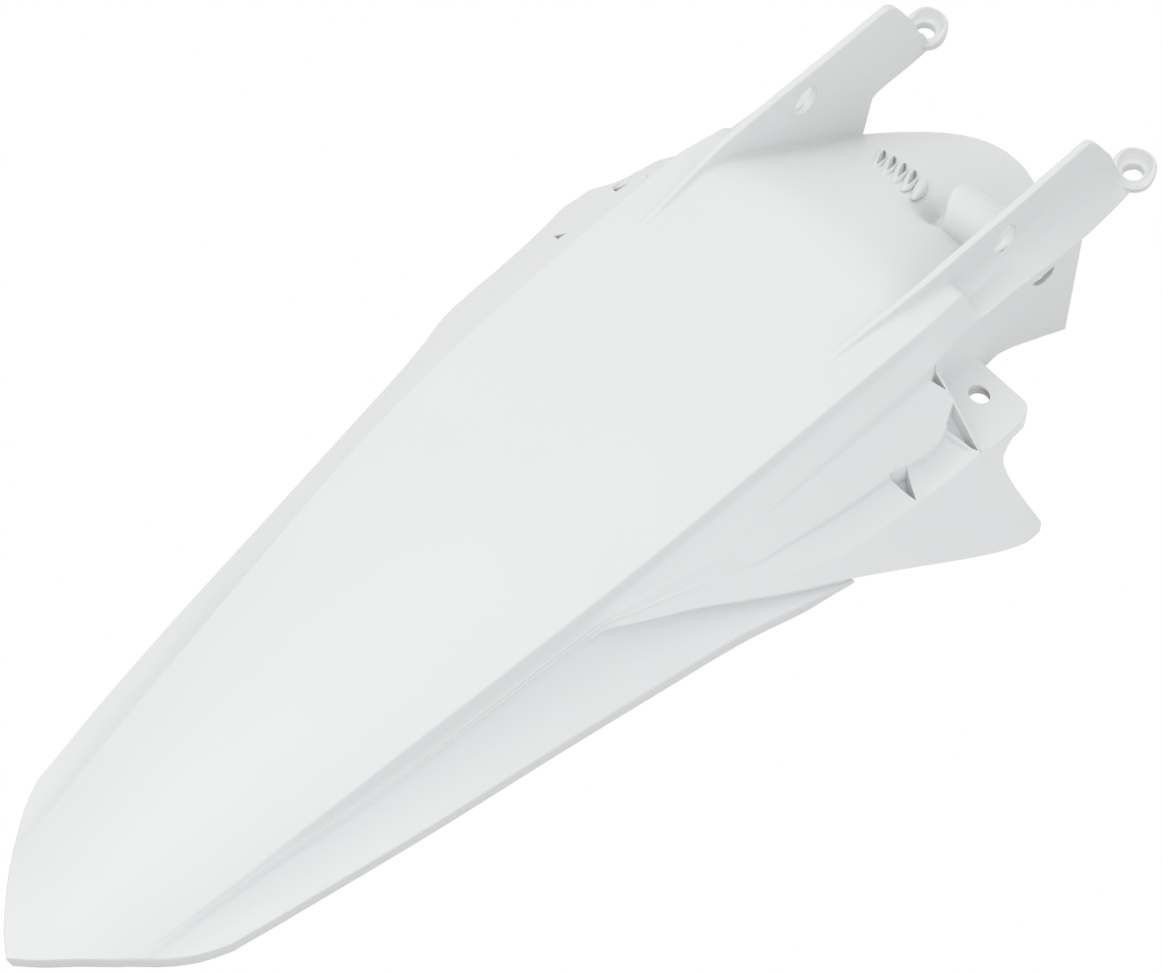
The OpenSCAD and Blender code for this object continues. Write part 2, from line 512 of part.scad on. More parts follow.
// Wedge-shaped pockets round the side panel: each a triangle seen from above, with the depths of its walls
wedge_plans = [
    [[[inner_ridge_x + 2.7, fold_y - 3.4], [inner_ridge_x + 1.6, fold_y + 0.2],
        [inner_ridge_x + 8, fold_y + 0.2]], [7, 7, 2.5]],
    [[[inner_ridge_x + 11.5, fold_y + 0.3], [outer_ridge_x - 0.3, fold_y + 0.6],
        [inner_ridge_x + 15.5, fold_y - 9]], [2.5, 2.5, 7.5]],
    [[[inner_ridge_x + 16, fold_y - 45.5], [inner_ridge_x + 16.8, fold_y - 36],
        [outer_ridge_x - 2.5, fold_y - 40]], [2.5, 6, 2.2]]];
wedge_depth = 12;
wedge_wall = 2.2;
function panel_z(p) = let (y = min(p[1], fold_y)) panel_pt(share_at(p[0], y, 1), y)[1];
function grown(plan, d) =
    let (c = (plan[0] + plan[1] + plan[2]) / 3) [for (p = plan) p + d * (p - c) / norm(p - c)];
// Prism over a triangle, with the depth of each of its top and bottom corners below the panel
module wedge(plan, d, high, low) {
    g = grown(plan, d);
    points = concat([for (i = [0:2]) [g[i][0], g[i][1], panel_z(g[i]) - high[i]]],
        [for (i = [0:2]) [g[i][0], g[i][1], panel_z(g[i]) - low]]);
    polyhedron(points, [[0, 1, 2], [5, 4, 3], [0, 3, 4], [0, 4, 1], [1, 4, 5], [1, 5, 2], [2, 5, 3], [2, 3, 0]]);
}

module body() {
    shell();
    hump();
    for (s = [-1, 1]) {
        eyelet(s);
        scale([s, 1, 1]) {
            tab();
            for (plan = wedge_plans)
                wedge(plan[0], wedge_wall * 1.6, plan[1], wedge_depth + wedge_wall);
        }
    }
    for (i = [0:1:vent_n - 1])
        vent_spot(i) translate([1.2, -vent_len / 2 - 1, -wall / 2])
            cube([1.6, vent_len + 2, wall / 2 + 2.6]);
}

module cuts() {
    difference() {
        along_hump(-3, web_in - hump_x + 2) hump_profile(hump_r, 20);
        below_guard();
    }
    intersection() {
        along_hump(web_in - hump_x - 4, web_in - hump_x + 8) circle(hump_r, $fn = 48);
        translate([web_in - 1, hump_y - 30, -60])
            cube([web_t + 1.6, 80, 90]);
    }
    translate([66, 0, 0])
        rotate([90, 0, 90])
            linear_extrude(9)
                polygon([for (p = [[77, -11], [79, -19], [83, -21.5], [93, -20.5], [98, -16]])
                    p + [fold_y, 0]]);
    web_bores();
    for (s = [-1, 1]) {
        eyelet_bore(s);
        translate([s * tab_c[0], tab_c[1], -45])
            cylinder(h = 45, d = tab_bore_d, $fn = 40);
        scale([s, 1, 1])
            for (plan = wedge_plans)
                wedge(plan[0], 0, [-12, -12, -12], wedge_depth);
    }
    for (i = [0:1:vent_n - 1])
        vent_spot(i) translate([-1.2, -vent_len / 2, -10])
            cube([2.4, vent_len, 20]);
}

// The fender rests on the tip of its nose and the front corners of its side walls
nose_foot_z = 3.4 - lip_h - 3;
pitch = atan((nose_foot_z + side_wall_drop) / (root_y + nose_len - 3));
lift = side_wall_drop * cos(pitch) - root_y * sin(pitch);
front_reach = (eyelet_y + eyelet_d / 2) * cos(pitch) + (10 + eyelet_h) * sin(pitch);
rear_reach = nose_len * cos(pitch) + 3.4 * sin(pitch);
module fender() color(white)
    translate([0, (rear_reach - front_reach) / 2, lift])
        rotate([pitch, 0, 0])
            difference() {
                body();
                cuts();
            }

fender();
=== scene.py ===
"""White motocross rear fender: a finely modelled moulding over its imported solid, in a white studio."""

import math

import bmesh
import bpy
from mathutils import Matrix, Vector
from mathutils.bvhtree import BVHTree


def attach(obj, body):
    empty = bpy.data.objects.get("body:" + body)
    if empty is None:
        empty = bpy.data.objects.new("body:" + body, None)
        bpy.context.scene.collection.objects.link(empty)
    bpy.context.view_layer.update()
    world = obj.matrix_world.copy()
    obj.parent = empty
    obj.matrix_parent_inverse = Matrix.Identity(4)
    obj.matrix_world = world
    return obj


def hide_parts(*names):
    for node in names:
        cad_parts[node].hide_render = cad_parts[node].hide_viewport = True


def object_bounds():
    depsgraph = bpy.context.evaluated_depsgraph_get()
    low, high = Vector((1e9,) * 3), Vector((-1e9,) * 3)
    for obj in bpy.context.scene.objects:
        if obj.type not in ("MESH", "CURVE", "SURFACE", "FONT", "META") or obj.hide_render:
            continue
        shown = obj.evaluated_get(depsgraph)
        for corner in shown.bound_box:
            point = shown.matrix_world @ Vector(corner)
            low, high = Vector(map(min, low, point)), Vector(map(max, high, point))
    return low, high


bl_info = {
    "name": "Moulded Rear Fender",
    "version": (1, 0, 0),
    "blender": (4, 5, 0),
    "location": "3D View > Sidebar > Fender",
    "description": "Builds a moulded rear fender over its packed solid, with its vents and a studio",
    "category": "Object",
}

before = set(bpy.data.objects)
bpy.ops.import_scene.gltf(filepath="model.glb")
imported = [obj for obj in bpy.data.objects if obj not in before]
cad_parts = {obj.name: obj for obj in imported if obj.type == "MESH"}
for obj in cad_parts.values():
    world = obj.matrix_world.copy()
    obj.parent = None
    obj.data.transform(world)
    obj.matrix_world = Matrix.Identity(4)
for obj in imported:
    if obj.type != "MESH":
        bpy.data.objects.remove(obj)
CAD_BOX = [list(map(float, corner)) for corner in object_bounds()]
MM = 0.001


def length(name, description, default):
    """Property for a length in millimetres."""
    return bpy.props.FloatProperty(name=name, description=description, default=default)


class FenderSizes(bpy.types.PropertyGroup):
    """Lengths of the moulding, in millimetres along the fender before it is set on the ground"""

    nose_len: length("Nose", "Nose tip to the start of the deck creases", 36.0)
    rail_tip_y: length("Rail tips", "Where the arm rails rise from the deck", 395.0)
    fold_y: length("Fold", "Where the deck turns down into the splash guard", 438.0)
    guard_len: length("Guard", "Fold to the guard's front corners", 113.0)
    guard_bow: length("Guard bow", "Bow of the guard's front edge", 37.0)
    eyelet_run: length("Eyelets", "Fold to the eyelet centres", 162.0)
    wall: length("Wall", "Wall thickness", 2.8)
    lip_h: length("Lip", "Height of the rolled lip", 6.0)
    side_wall_drop: length("Side walls", "Depth of their front corners", 78.0)
    vent_n: bpy.props.IntProperty(name="Vents", description="Number of vent slots", default=4, min=3, max=5)
    vent_pitch: length("Vent pitch", "Distance between the vent slots", 6.7)
    vent_len: length("Vent length", "Length of a vent slot", 20.0)
    vent_rise: length("Vent ribs", "Height of the ribs beside the slots", 3.6)


class FenderLook(bpy.types.PropertyGroup):
    """Colours of the plastic and of the studio"""

    plastic: bpy.props.FloatVectorProperty(
        name="Plastic",
        description="Colour of the white polypropylene",
        subtype="COLOR",
        size=3,
        default=(0.863, 0.871, 0.871),
    )
    key: bpy.props.FloatProperty(
        name="Key light", description="Power of the main light", default=6.5, subtype="POWER"
    )
    fill: bpy.props.FloatProperty(
        name="Fill light", description="Power of the light on the camera's side", default=2.8, subtype="POWER"
    )
    sky: bpy.props.FloatProperty(
        name="Surround", description="Strength of the light from all round", default=0.775
    )


def srgb(text):
    """Linear colour of an sRGB hex value such as #E8EAEB."""
    channels = [int(text[i : i + 2], 16) / 255 for i in (1, 3, 5)]
    return tuple(c / 12.92 if c <= 0.04045 else ((c + 0.055) / 1.055) ** 2.4 for c in channels) + (1.0,)


def add_node(tree, kind, inputs=(), **settings):
    """Adds a node with its settings; inputs are (socket, value or output socket)."""
    node = tree.nodes.new(kind)
    for name, value in settings.items():
        setattr(node, name, value)
    for name, value in inputs:
        socket = node.inputs[name]
        if isinstance(value, bpy.types.NodeSocket):
            tree.links.new(value, socket)
        else:
            socket.default_value = value
    return node


def clamp(t):
    """Keeps a share between 0 and 1."""
    return min(1.0, max(0.0, t))


def ease(a, b, y):
    """Smooth step from 0 at a to 1 at b."""
    t = clamp((y - a) / (b - a))
    return t * t * (3 - 2 * t)


def mix(a, b, t):
    """Blend of two numbers or two points."""
    if isinstance(a, (tuple, list)):
        return tuple(p + (q - p) * t for p, q in zip(a, b))
    return a + (b - a) * t


def along(stations, y):
    """Smooth curve through (position, value) stations."""
    i = 0
    while i < len(stations) - 2 and y >= stations[i + 1][0]:
        i += 1

    def chord(j):
        return (stations[j + 1][1] - stations[j][1]) / (stations[j + 1][0] - stations[j][0])

    def slope(j):
        if j == 0:
            return chord(0)
        if j == len(stations) - 1:
            return chord(j - 1)
        return (stations[j + 1][1] - stations[j - 1][1]) / (stations[j + 1][0] - stations[j - 1][0])

    h = stations[i + 1][0] - stations[i][0]
    t = clamp((y - stations[i][0]) / h)
    a, b, m, n = stations[i][1], stations[i + 1][1], slope(i) * h, slope(i + 1) * h
    return a + t * (m + t * (3 * (b - a) - 2 * m - n + t * (2 * (a - b) + m + n)))


class Form:
    """The fender's lines, in millimetres, y along it from the start of the deck creases and z up."""

    NOSE_HALF = 34.5  # Half the deck's width where its creases start
    TAIL_HALF = 57.5  # Half the width where the skirt's lip starts
    NOSE_Z = 3.4  # Height of the nose tip
    NOSE_LEAN = 3  # How far the rolled edge leans back, and hangs lower, at the nose tip
    CROWN = 7  # Crown of the deck behind the rails
    SKIRT_LOW = -5  # Height of the skirt's lip at its start
    WING_START = (228, 248)  # Where the wing leaves the skirt
    GUARD_HALF = 56.5  # Half the width of the splash guard, between the rails
    TAB_END = 473.6  # Front end of the side tab's inner edge
    TAB_BORE = (88, 463)  # Centre of the right side tab's bore
    EYELET_X = 62

    def __init__(self, s):
        self.s = s
        self.root = s.fold_y + s.guard_len
        self.eye = s.fold_y + s.eyelet_run
        fold, root, eye, rise, drop = s.fold_y, self.root, self.eye, 30.0, 64.0
        half, wing = 71.5, 140.5
        self.web_t = 3.6
        self.edge_x = [(0, self.NOSE_HALF), (70, 45), (150, 55), (222, 63.5), (270, 67.5), (320, half - 1.8),
            (390, half - 0.3), (fold, half + 0.5)]
        self.edge_z = [(-s.nose_len, self.NOSE_Z), (0, 0), (84, 0.33 * rise), (157, 0.62 * rise),
            (222, 0.85 * rise), (270, 0.95 * rise), (320, rise), (s.rail_tip_y, rise - 0.4),
            (fold, rise - 1.4)]
        self.crown = [(-s.nose_len, 0), (0, self.CROWN), (200, self.CROWN), (s.rail_tip_y, 5.4), (fold, 5)]
        self.step_z = [(0, 0.15), (45, 0.35), (72, 1.2), (100, 4.6), (125, 6.2), (145, 6.8), (220, 6),
            (fold, 5.2)]
        # The tail's outline: (x, y)
        self.tail = [(0, -36), (10, -28), (20, -17.6), (30, -6.8), (self.NOSE_HALF, -1.2), (38, 3),
            (42, 8.2), (46.8, 14.6), (53, 24.6), (self.TAIL_HALF, 35)]
        self.skirt_x = [(36, self.TAIL_HALF), (78, 66), (134, 76), (191, 85), (249, 94.5), (293, 102),
            (327, 109.6), (350, 113)]
        self.skirt_z = [(0, 0), (10, -2), (36, self.SKIRT_LOW), (78, -6), (134, -8.4), (191, -10.8),
            (249, -13.8), (293, -16.5), (327, -20.8), (350, -26.5)]
        self.wing_x = [(238, 72), (253, 78), (280, 88), (297, 95.3), (323, 106), (345, 112.5), (377, 121.6),
            (416, 133.5), (fold, wing - 1), (452, wing)]
        self.wing_z = [(238, 15.5), (253, 11), (280, 3), (297, -3), (323, -12), (345, -21), (377, -37),
            (416, -56), (fold, -drop + 0.5), (452, -drop)]
        self.rail_in = [(s.rail_tip_y, 52), (450, 56.1), (470, self.GUARD_HALF), (root, self.GUARD_HALF)]
        self.rail_z = [(s.rail_tip_y, rise + 2.2), (425, 34), (470, 35.2), (522, 34), (root + 12, 33.7),
            (eye - 34, 33.2), (eye - 28.5, 28), (eye - 22.4, 18.6), (eye - 16.3, 9), (eye - 9, -6),
            (eye + 6, -10)]
        self.strip_z = [(fold, rise - 0.6), (462, rise - 3), (470, rise - 5.5), (476, 15), (480, 12.5),
            (500, 10.5), (522, 8.8), (root, 9), (eye - 32, 6), (eye - 22, 0), (eye - 8, -12),
            (eye + 6, -13.5)]
        self.flank_x = [(fold, half + 0.5), (462, 70), (471, 69), (479, 65), (522, 64), (eye, 63)]
        self.flank_z = [(fold, rise - 1.4), (462, rise - 5), (471, rise - 8), (479, 7.5), (500, 5.6),
            (522, 3), (root, -1), (eye - 26, -8), (eye - 8, -14.6), (eye + 6, -14.8)]
        self.flange_x = [(fold, 81), (448, 80), (465, 77), (496, 76.2), (527, 74.2), (root, 72.3),
            (572, 69.8), (eye + 6, 66)]
        self.side_foot_x = [(fold, 81), (448, 80), (465, 76), (496, 73), (527, 71), (root, 69.3)]
        self.flange_z = [(fold, 14.2), (448, 13), (465, 8.4), (496, 5.6), (527, -3.6), (root, -10.2),
            (572, -14.8), (eye - 12, -16.6), (eye + 6, -15.4)]
        self.arm_foot_z = [(root + 6, -19), (root + 10, -17.5), (eye - 12, -18), (eye + 6, -16.2)]
        w = -s.side_wall_drop
        self.side_foot_z = [(fold, 11), (443, -18), (447, -30), (452, -35), (475, 0.48 * w), (484, 0.5 * w),
            (497, 0.53 * w), (527, 0.78 * w), (root, w)]
        self.guard_z = [(fold, rise + 1), (452, rise - 4), (465, 18), (493, -2), (521, -21.8), (root, -42),
            (root + s.guard_bow, -68.6)]
        self.guard_c = [(fold, 3), (465, 9), (493, 14), (521, 18), (root, 22), (root + s.guard_bow, 27.5)]
        self.panel_x = [(320, 91.5), (349, 94.4), (373, 96), (397, 97.3), (404, 98.3), (416, 99.4),
            (424, 98.8), (429, 97.2), (fold, 94)]
        self.ridge_2_x = [(350, 106.2), (387, 108), (fold, 109.8), (474, 110.2)]
        # The wing's front edge: (line, x, y, z)
        self.front = [(16, 107, 473.6, -31.5), (16.5, 110.3, 468.1, -33.3), (17, 111, 460.5, -32.2),
            (17.5, 113.5, 451.5, -32.8), (18, 116, 447.4, -34.2), (19, 122.2, 446, -41),
            (20, 131, 448, -52.4), (20.5, 136, 450.4, -60.5), (20.8, 138.4, 450.6, -64),
            (21, 139.4, 447.6, -65.8)]
        self.tab_edge = [(fold, 109.8), (452, 110), (466, 109), (self.TAB_END, 107)]
        # How far a line lies from the second ridge to the wing's edge
        self.share = [(16, 0), (17, 0.08), (18, 0.22), (19, 0.45), (20, 0.72), (21, 1)]

    def deck_z(self, x, y):
        """Height of the deck's top."""
        return along(self.edge_z, y) + along(self.crown, y) * (1 - (x / along(self.edge_x, y)) ** 2)

    def guard_h(self, x, y):
        """Height of the splash guard's top."""
        return along(self.guard_z, y) + along(self.guard_c, y) * (1 - (x / self.GUARD_HALF) ** 2)

    @staticmethod
    def dent(x, y):
        """Depth of the hollow in the guard beside the mouth of the hump."""
        deepest, (cx, cy), (rx, ry) = 8.5, (19.5, 511), (6.5, 7)
        hollow = deepest * math.exp(-(((x - cx) / rx) ** 2 + ((y - cy) / ry) ** 2))
        return hollow * (1 - ease(21, 27, x)) * ease(2, 8, x)

    def step_foot(self, y):
        """Foot (x, z) of the small step beside the deck."""
        d = along(self.step_z, y)
        return (along(self.edge_x, y) + 0.5 + 0.22 * d, along(self.edge_z, y) - d)

    def lip_top(self, y):
        """The skirt's lower edge (x, z)."""
        return (along(self.skirt_x, y), along(self.skirt_z, y))

    def skirt_pt(self, v, y):
        """Point (x, z) of the skirt, at share v from the step's foot to the lip; it bulges by 3.5 mm."""
        a, b = self.step_foot(y), self.lip_top(y)
        c = (b[0] - a[0], b[1] - a[1])
        k = 4 * v * (1 - v) * 3.5 / math.hypot(*c)
        p = mix(a, b, v)
        return (p[0] + k * c[1], p[1] - k * c[0])

    def wing_pt(self, y):
        """The wing's outer edge (x, z), which starts on the skirt."""
        edge = (along(self.wing_x, y), along(self.wing_z, y))
        return mix(self.skirt_pt(0.22, y), edge, ease(*self.WING_START, y))

    def panel_pt(self, v, y):
        """Point (x, z) of the side panel, at share v from the step's foot to the wing's edge."""
        return mix(self.step_foot(y), self.wing_pt(y), v)

    def panel_z(self, x, y):
        """Height of the side panel."""
        y = min(y, self.s.fold_y)
        return self.panel_pt(self.share_at(x, y, 1), y)[1]

    def tab_z(self, x, y):
        """Height of the side tab's flat top."""
        return -32 - (0.2238 * (x - 106) + 0.2043 * (y - 474)) / 0.9533

    def tab_edge_pt(self, t):
        """Point (x, y) of the line where side panel and tab meet."""
        y = mix(self.s.fold_y, self.TAB_END, t)
        return (along(self.tab_edge, y), y)

    def tab_plan(self):
        """Outline (x, y) of the right side tab."""
        edge = [self.tab_edge_pt(i / 10) for i in range(1, 11)]
        return ([(76, 456), (81.6, 450.6), (83.3, 450.2), (108, 440.2), (109.6, 439.6)] + edge
            + [(105.8, 475.6), (104.4, 477.2), (102.6, 478), (80.5, 477.6), (74, 477.6), (74, 466)])

    def share_at(self, x, y, most):
        """Share v of panel_pt at x, up to a largest one."""
        a, b = self.step_foot(y)[0], self.wing_pt(y)[0]
        return min(most, (x - a) / (b - a))


class Lines:
    """Grid of the shell: numbered lines run along the fender, rows run across it."""

    RAIL_IN, RAIL_TOP_IN, RAIL_TOP_OUT, RAIL_OUT, EDGE, STEP, RIDGE, SIDE_FOOT, RIDGE_FOOT = range(3, 12)
    PANEL, PANEL_EDGE, PANEL_FOOT, POCKET, RIDGE_2, WING_IN = range(12, 18)
    WING_EDGE, WING_UNDER, UNDERCUT, SKIRT, LIP, LIP_FOOT = range(21, 27)
    # Angle in degrees, from straight down, at which the wall's thickness is laid off along each line
    LEAN = [0, 2, 4, 5, 5, 5, 20, 28, 38, 48, 46, 44, 46, 48, 50, 52, 50, 52, 54, 54, 55, 56, 56, 56]
    LEAN += [52, 50, 50]
    # Lines between the numbered ones, where the surface is curved
    EXTRA = [0.4, 0.6, 0.8, 1.0, 1.2, 1.4, 1.6, 2.0, 2.4, 2.7, 6.15, 6.3, 6.45, 6.6, 6.75, 6.9, 8.25, 8.5,
        8.75, 11.5, 12.5, 14.25, 14.5, 14.75, 15.25, 15.5, 15.75, 16.25, 16.5, 16.75, 17.25, 17.5, 17.75,
        18.33, 18.67, 19.33, 19.67, 20.33, 20.67, 23.4, 23.8, 24.2, 24.6]
    # Radius of the rounded corner along a line, in millimetres
    CORNER = {3: 1.4, 4: 0.9, 5: 0.9, 6: 1.4, 7: 1.1, 8: 1.2, 9: 1.0, 11: 0.9, 13: 0.7, 14: 0.7, 16: 0.6,
        21: 0.9, 22: 0.5, 23: 0.8, 25: 1.3, 26: 0.6}

    def __init__(self, form):
        self.form = form
        s = form.s
        self.keys = sorted([float(k) for k in range(27) if k not in (1, 2)] + self.EXTRA)
        # The rows' places as shares of the way, from the tail to the fold and from there to the arm's root
        self.rear_s = [0.0, 0.004, 0.009, 0.015, 0.022, 0.03, 0.04, 0.05]
        self.rear_s += [0.05 + 0.95 * i / 84 for i in range(1, 85)]
        self.guard_s = [0, 0.04, 0.08, 0.12, 0.15, 0.18, 0.21, 0.235, 0.26, 0.285, 0.31, 0.33, 0.345, 0.365]
        self.guard_s += [0.385 + 0.615 * i / 30 for i in range(31)]
        self.fold_i = len(self.rear_s)
        self.root_i = self.fold_i + len(self.guard_s) - 1
        self.arm_n = 26
        self.last_i = self.root_i + self.arm_n
        self.tab_n = 10
        # Row where the skirt ends in the wing's edge
        self.close_i = next(i for i, v in enumerate(self.rear_s) if v > 0.777) + 1
        self.starts = {}

    @staticmethod
    def ridge_drop(y):
        """Depth of the side panel's step under the first ridge."""
        return 0.03 + 5.4 * clamp((y - 290) / 148) ** 1.4

    @staticmethod
    def panel_drop(y):
        """Depth of the step at the raised panel's edge."""
        return 0.03 + 3.4 * ease(270, 395, y) + 1.9 * ease(400, 410, y)

    def rear(self, k, y):
        """Section point (x, z) of line k at y, up to the fold."""
        f = self.form
        a = along(f.edge_x, y)
        if k <= self.EDGE:
            rail_share, rail_draft = 0.73, 0.4
            if y < f.s.rail_tip_y:
                x_in, top = rail_share * a, 0
                x_out = x_in + mix(2, f.web_t, clamp(y / f.s.rail_tip_y))
            else:
                x_in = along(f.rail_in, y)
                x_out, top = x_in + f.web_t, max(0, along(f.rail_z, y) - f.deck_z(x_in, y))
            if k <= self.RAIL_IN:
                x = x_in * k / self.RAIL_IN
            elif k == self.RAIL_TOP_IN:
                x = x_in + rail_draft
            elif k == self.RAIL_TOP_OUT:
                x = x_out - rail_draft
            else:
                x = mix(x_out, a, k - self.RAIL_OUT)
            return (x, f.deck_z(x, y) + (top if k in (self.RAIL_TOP_IN, self.RAIL_TOP_OUT) else 0))
        if k == self.STEP:
            return f.step_foot(y)
        # The ridges as shares of the panel; towards the tail the two lines of the first one part a little
        r1 = f.share_at(81, y, 0.36)
        r2 = f.share_at(along(f.panel_x, y), y, 0.62)
        r3 = f.share_at(along(f.ridge_2_x, y), y, 0.82)
        spread = 0.06 * (1 - ease(280, 330, y))
        drop = self.ridge_drop(y)
        ridge = f.panel_pt(r1 * (1 - spread), y)
        if k <= self.RIDGE:
            return mix(f.step_foot(y), ridge, k - self.STEP)
        side = f.panel_pt(r1, y)
        if k == self.SIDE_FOOT:
            return (side[0] + 0.5 * (0.3 + 0.3 * drop), side[1] - 0.5 * drop)
        foot = f.panel_pt(r1 * (1 + spread), y)
        foot = (foot[0] + 0.3 + 0.3 * drop, foot[1] - drop)
        edge = f.panel_pt(r2, y)
        if k <= self.PANEL_EDGE:
            return mix(foot, edge, (k - self.RIDGE_FOOT) / 2)
        under = (edge[0] + 0.4, edge[1] - self.panel_drop(y))
        sunk = 2.3 * ease(290, 390, y) + 2.4 * ease(400, 412, y)
        ridge_2 = f.panel_pt(r3, y)
        if k < self.RIDGE_2:
            mid = f.panel_pt(mix(r2, r3, 0.5), y)
            return self.dished(under, (mid[0], mid[1] - sunk), ridge_2, (k - self.PANEL_FOOT) / 2)
        if k == self.RIDGE_2:
            return ridge_2
        if k <= self.WING_EDGE:
            return f.panel_pt(mix(r3, 1, along(f.share, k)), y)
        w = f.wing_pt(y)
        lip = f.lip_top(y)
        opened = ease(238, 300, y)
        under_share, undercut_share = 0.235, 0.26
        started = ease(*f.WING_START, y)
        if k == self.WING_UNDER:
            return mix(f.skirt_pt(under_share, y), (w[0] - 0.3, w[1] - 0.3 - 1.6 * opened), started)
        a = f.step_foot(y)[0]
        v = mix(undercut_share, (w[0] - 0.3 - 3.5 * opened - a) / (lip[0] - a), started)
        if k < self.LIP:
            return f.skirt_pt(mix(v, 1, (k - self.UNDERCUT) / 2), y)
        return lip if k == self.LIP else (lip[0], lip[1] - f.s.lip_h * (1 - 0.62 * ease(318, 350, y)))

    @staticmethod
    def dished(a, bottom, b, t):
        """Point at share t of the hollow between two edges, deepest in the middle."""
        p = mix(a, b, t)
        middle = mix(a, b, 0.5)
        low = (bottom[0] - middle[0], bottom[1] - middle[1])
        return (p[0] + 4 * t * (1 - t) * low[0], p[1] + 4 * t * (1 - t) * low[1])

    def fore(self, k, y):
        """Section point (x, z) of line k in front of the fold: splash guard, arm, flange and side wall."""
        f = self.form
        x_in = along(f.rail_in, y)
        draft = 0.4 * (1 - ease(f.s.fold_y, 470, y))
        if k <= self.RAIL_IN:
            if k == self.RAIL_IN and y > f.root + 0.1:
                return (x_in, along(f.arm_foot_z, y))
            x = x_in * k / self.RAIL_IN
            return (x, f.guard_h(x, y))
        if k == self.RAIL_TOP_IN:
            return (x_in + draft, along(f.rail_z, y))
        if k == self.RAIL_TOP_OUT:
            return (x_in + f.web_t - draft, along(f.rail_z, y))
        foot = x_in + f.web_t
        # Between guard and eyelet the web's foot is a deep hollow
        hollow = ease(472, 482, y) * (1 - ease(f.eye - 30, f.eye - 10, y))
        web = (foot, along(f.strip_z, y) + 4.5 * hollow)
        flank = (along(f.flank_x, y), along(f.flank_z, y))
        flange = (along(f.flange_x, y), along(f.flange_z, y))
        mid = mix(flank, flange, mix(0.28, 0.5, ease(f.s.fold_y, 480, y)))
        if k <= self.EDGE:
            t = k - self.RAIL_OUT
            bend = mix(mix(web, flank, 0.5), (foot + 0.4, along(f.strip_z, y) - 2), hollow)
            return mix(mix(web, bend, t), mix(bend, flank, t), t)
        if k <= self.RIDGE:
            return mix(mid, flange, k - self.STEP)
        return (along(f.side_foot_x, y), along(f.side_foot_z, y))

    def start_y(self, k):
        """Where line k meets the tail's outline."""
        k = min(k, self.LIP)
        if k not in self.starts:
            y = 0
            for _ in range(9):
                y = along(self.form.tail, self.rear(k, max(0, y))[0])
            self.starts[k] = y
        return self.starts[k]

    def outer(self, i, k):
        """Point of the visible face at row i and line k."""
        f = self.form
        if k > self.WING_EDGE and i > self.close_i:
            return self.outer(i, self.WING_EDGE)
        if i == 0:
            p = self.outer(1, k)
            lean = f.NOSE_LEAN * clamp(1 - p[0] / f.TAIL_HALF)
            low = f.SKIRT_LOW - f.s.lip_h if k >= self.LIP else p[2] - f.s.lip_h - lean
            return (p[0], p[1] + lean, low)
        if i <= self.fold_i:
            y = mix(self.start_y(k), f.s.fold_y, self.rear_s[i - 1])
            p = self.rear(k, max(0, y))
            if y >= 0:
                return (p[0], y, p[1])
            if k > self.EDGE:
                return (p[0], y, p[1] + along(f.edge_z, y) - along(f.edge_z, 0))
            u = self.rear(k, 0)[0] / f.NOSE_HALF
            return (p[0], y, along(f.edge_z, y) + f.CROWN * (1 - u * u) * clamp(1 + y / f.s.nose_len))
        if k < self.RAIL_IN and i > self.root_i:
            return self.outer(i, self.RAIL_IN)
        if k <= self.SIDE_FOOT:
            if i <= self.root_i:
                bow = f.s.guard_bow * (1 - (k / self.RAIL_IN) ** 2) if k < self.RAIL_IN else 0
                y = mix(f.s.fold_y, f.root + bow, self.guard_s[i - self.fold_i])
            else:
                y = mix(f.root + 6, f.eye + 6, (i - self.root_i - 1) / (self.arm_n - 1))
            p = self.fore(k, y)
            return (p[0], y, p[1])
        k = max(k, self.RIDGE_2)
        t = min(1, (i - self.fold_i) / self.tab_n)
        a = self.rear(k, f.s.fold_y)
        if k == self.RIDGE_2:
            # The sheet tucks in under the tab's plate
            tuck, below = 1.2, 0.3
            x, y = f.tab_edge_pt(t)
            x -= tuck * clamp(4 * t)
            return (x, y, mix(a[1], f.tab_z(x, y) - below, clamp(t * self.tab_n / 2)))
        b = [along([(p[0], p[n]) for p in f.front], k) for n in (1, 2, 3)]
        return (mix(a[0], b[0], t), mix(f.s.fold_y, b[1], t), mix(a[1], b[2], t))

    def inner(self, i, k):
        """Point of the hidden face, behind the visible one by the wall."""
        f = self.form
        w = f.s.wall
        p = self.outer(i, k)
        j = min(int(k), self.LIP)
        lean = mix(self.LEAN[j], self.LEAN[j + 1], k - j)
        if i > self.fold_i:
            lean = 90 if k == self.SIDE_FOOT else 62 if k == self.RIDGE else lean
            if self.RIDGE_2 <= k <= self.WING_IN + 1:
                lean = mix(lean, 18, clamp((i - self.fold_i) / self.tab_n))
        off = (-w * math.sin(math.radians(lean)), 0, -w * math.cos(math.radians(lean)))
        edge = -w if k >= self.LIP else 0
        if i == 0:
            return (p[0] + edge, p[1] + w, p[2])
        if i == 1:
            return (p[0] + edge, p[1] + w, p[2] - (0 if k == self.LIP_FOOT else w))
        if k == self.LIP_FOOT:
            return (p[0] - w, p[1], p[2])
        if k == self.RAIL_TOP_IN:
            q = self.outer(i, self.RAIL_IN)
            return (q[0] + 0.9, p[1], q[2] - w)
        if k == self.RAIL_TOP_OUT:
            return (self.outer(i, self.RAIL_OUT)[0] - 0.7, p[1], self.outer(i, self.RAIL_IN)[2] - w)
        if k == self.RAIL_OUT:
            return (p[0] - 0.1, p[1], p[2] - w)
        q = (p[0] + off[0], p[1], p[2] + off[2])
        opened = 0 if p[1] < 238 else ease(238, 262, p[1]) * (i <= self.close_i)
        if k in (self.WING_EDGE, self.WING_UNDER) and opened:
            u = self.outer(i, self.UNDERCUT)
            n = self.UNDERCUT - k
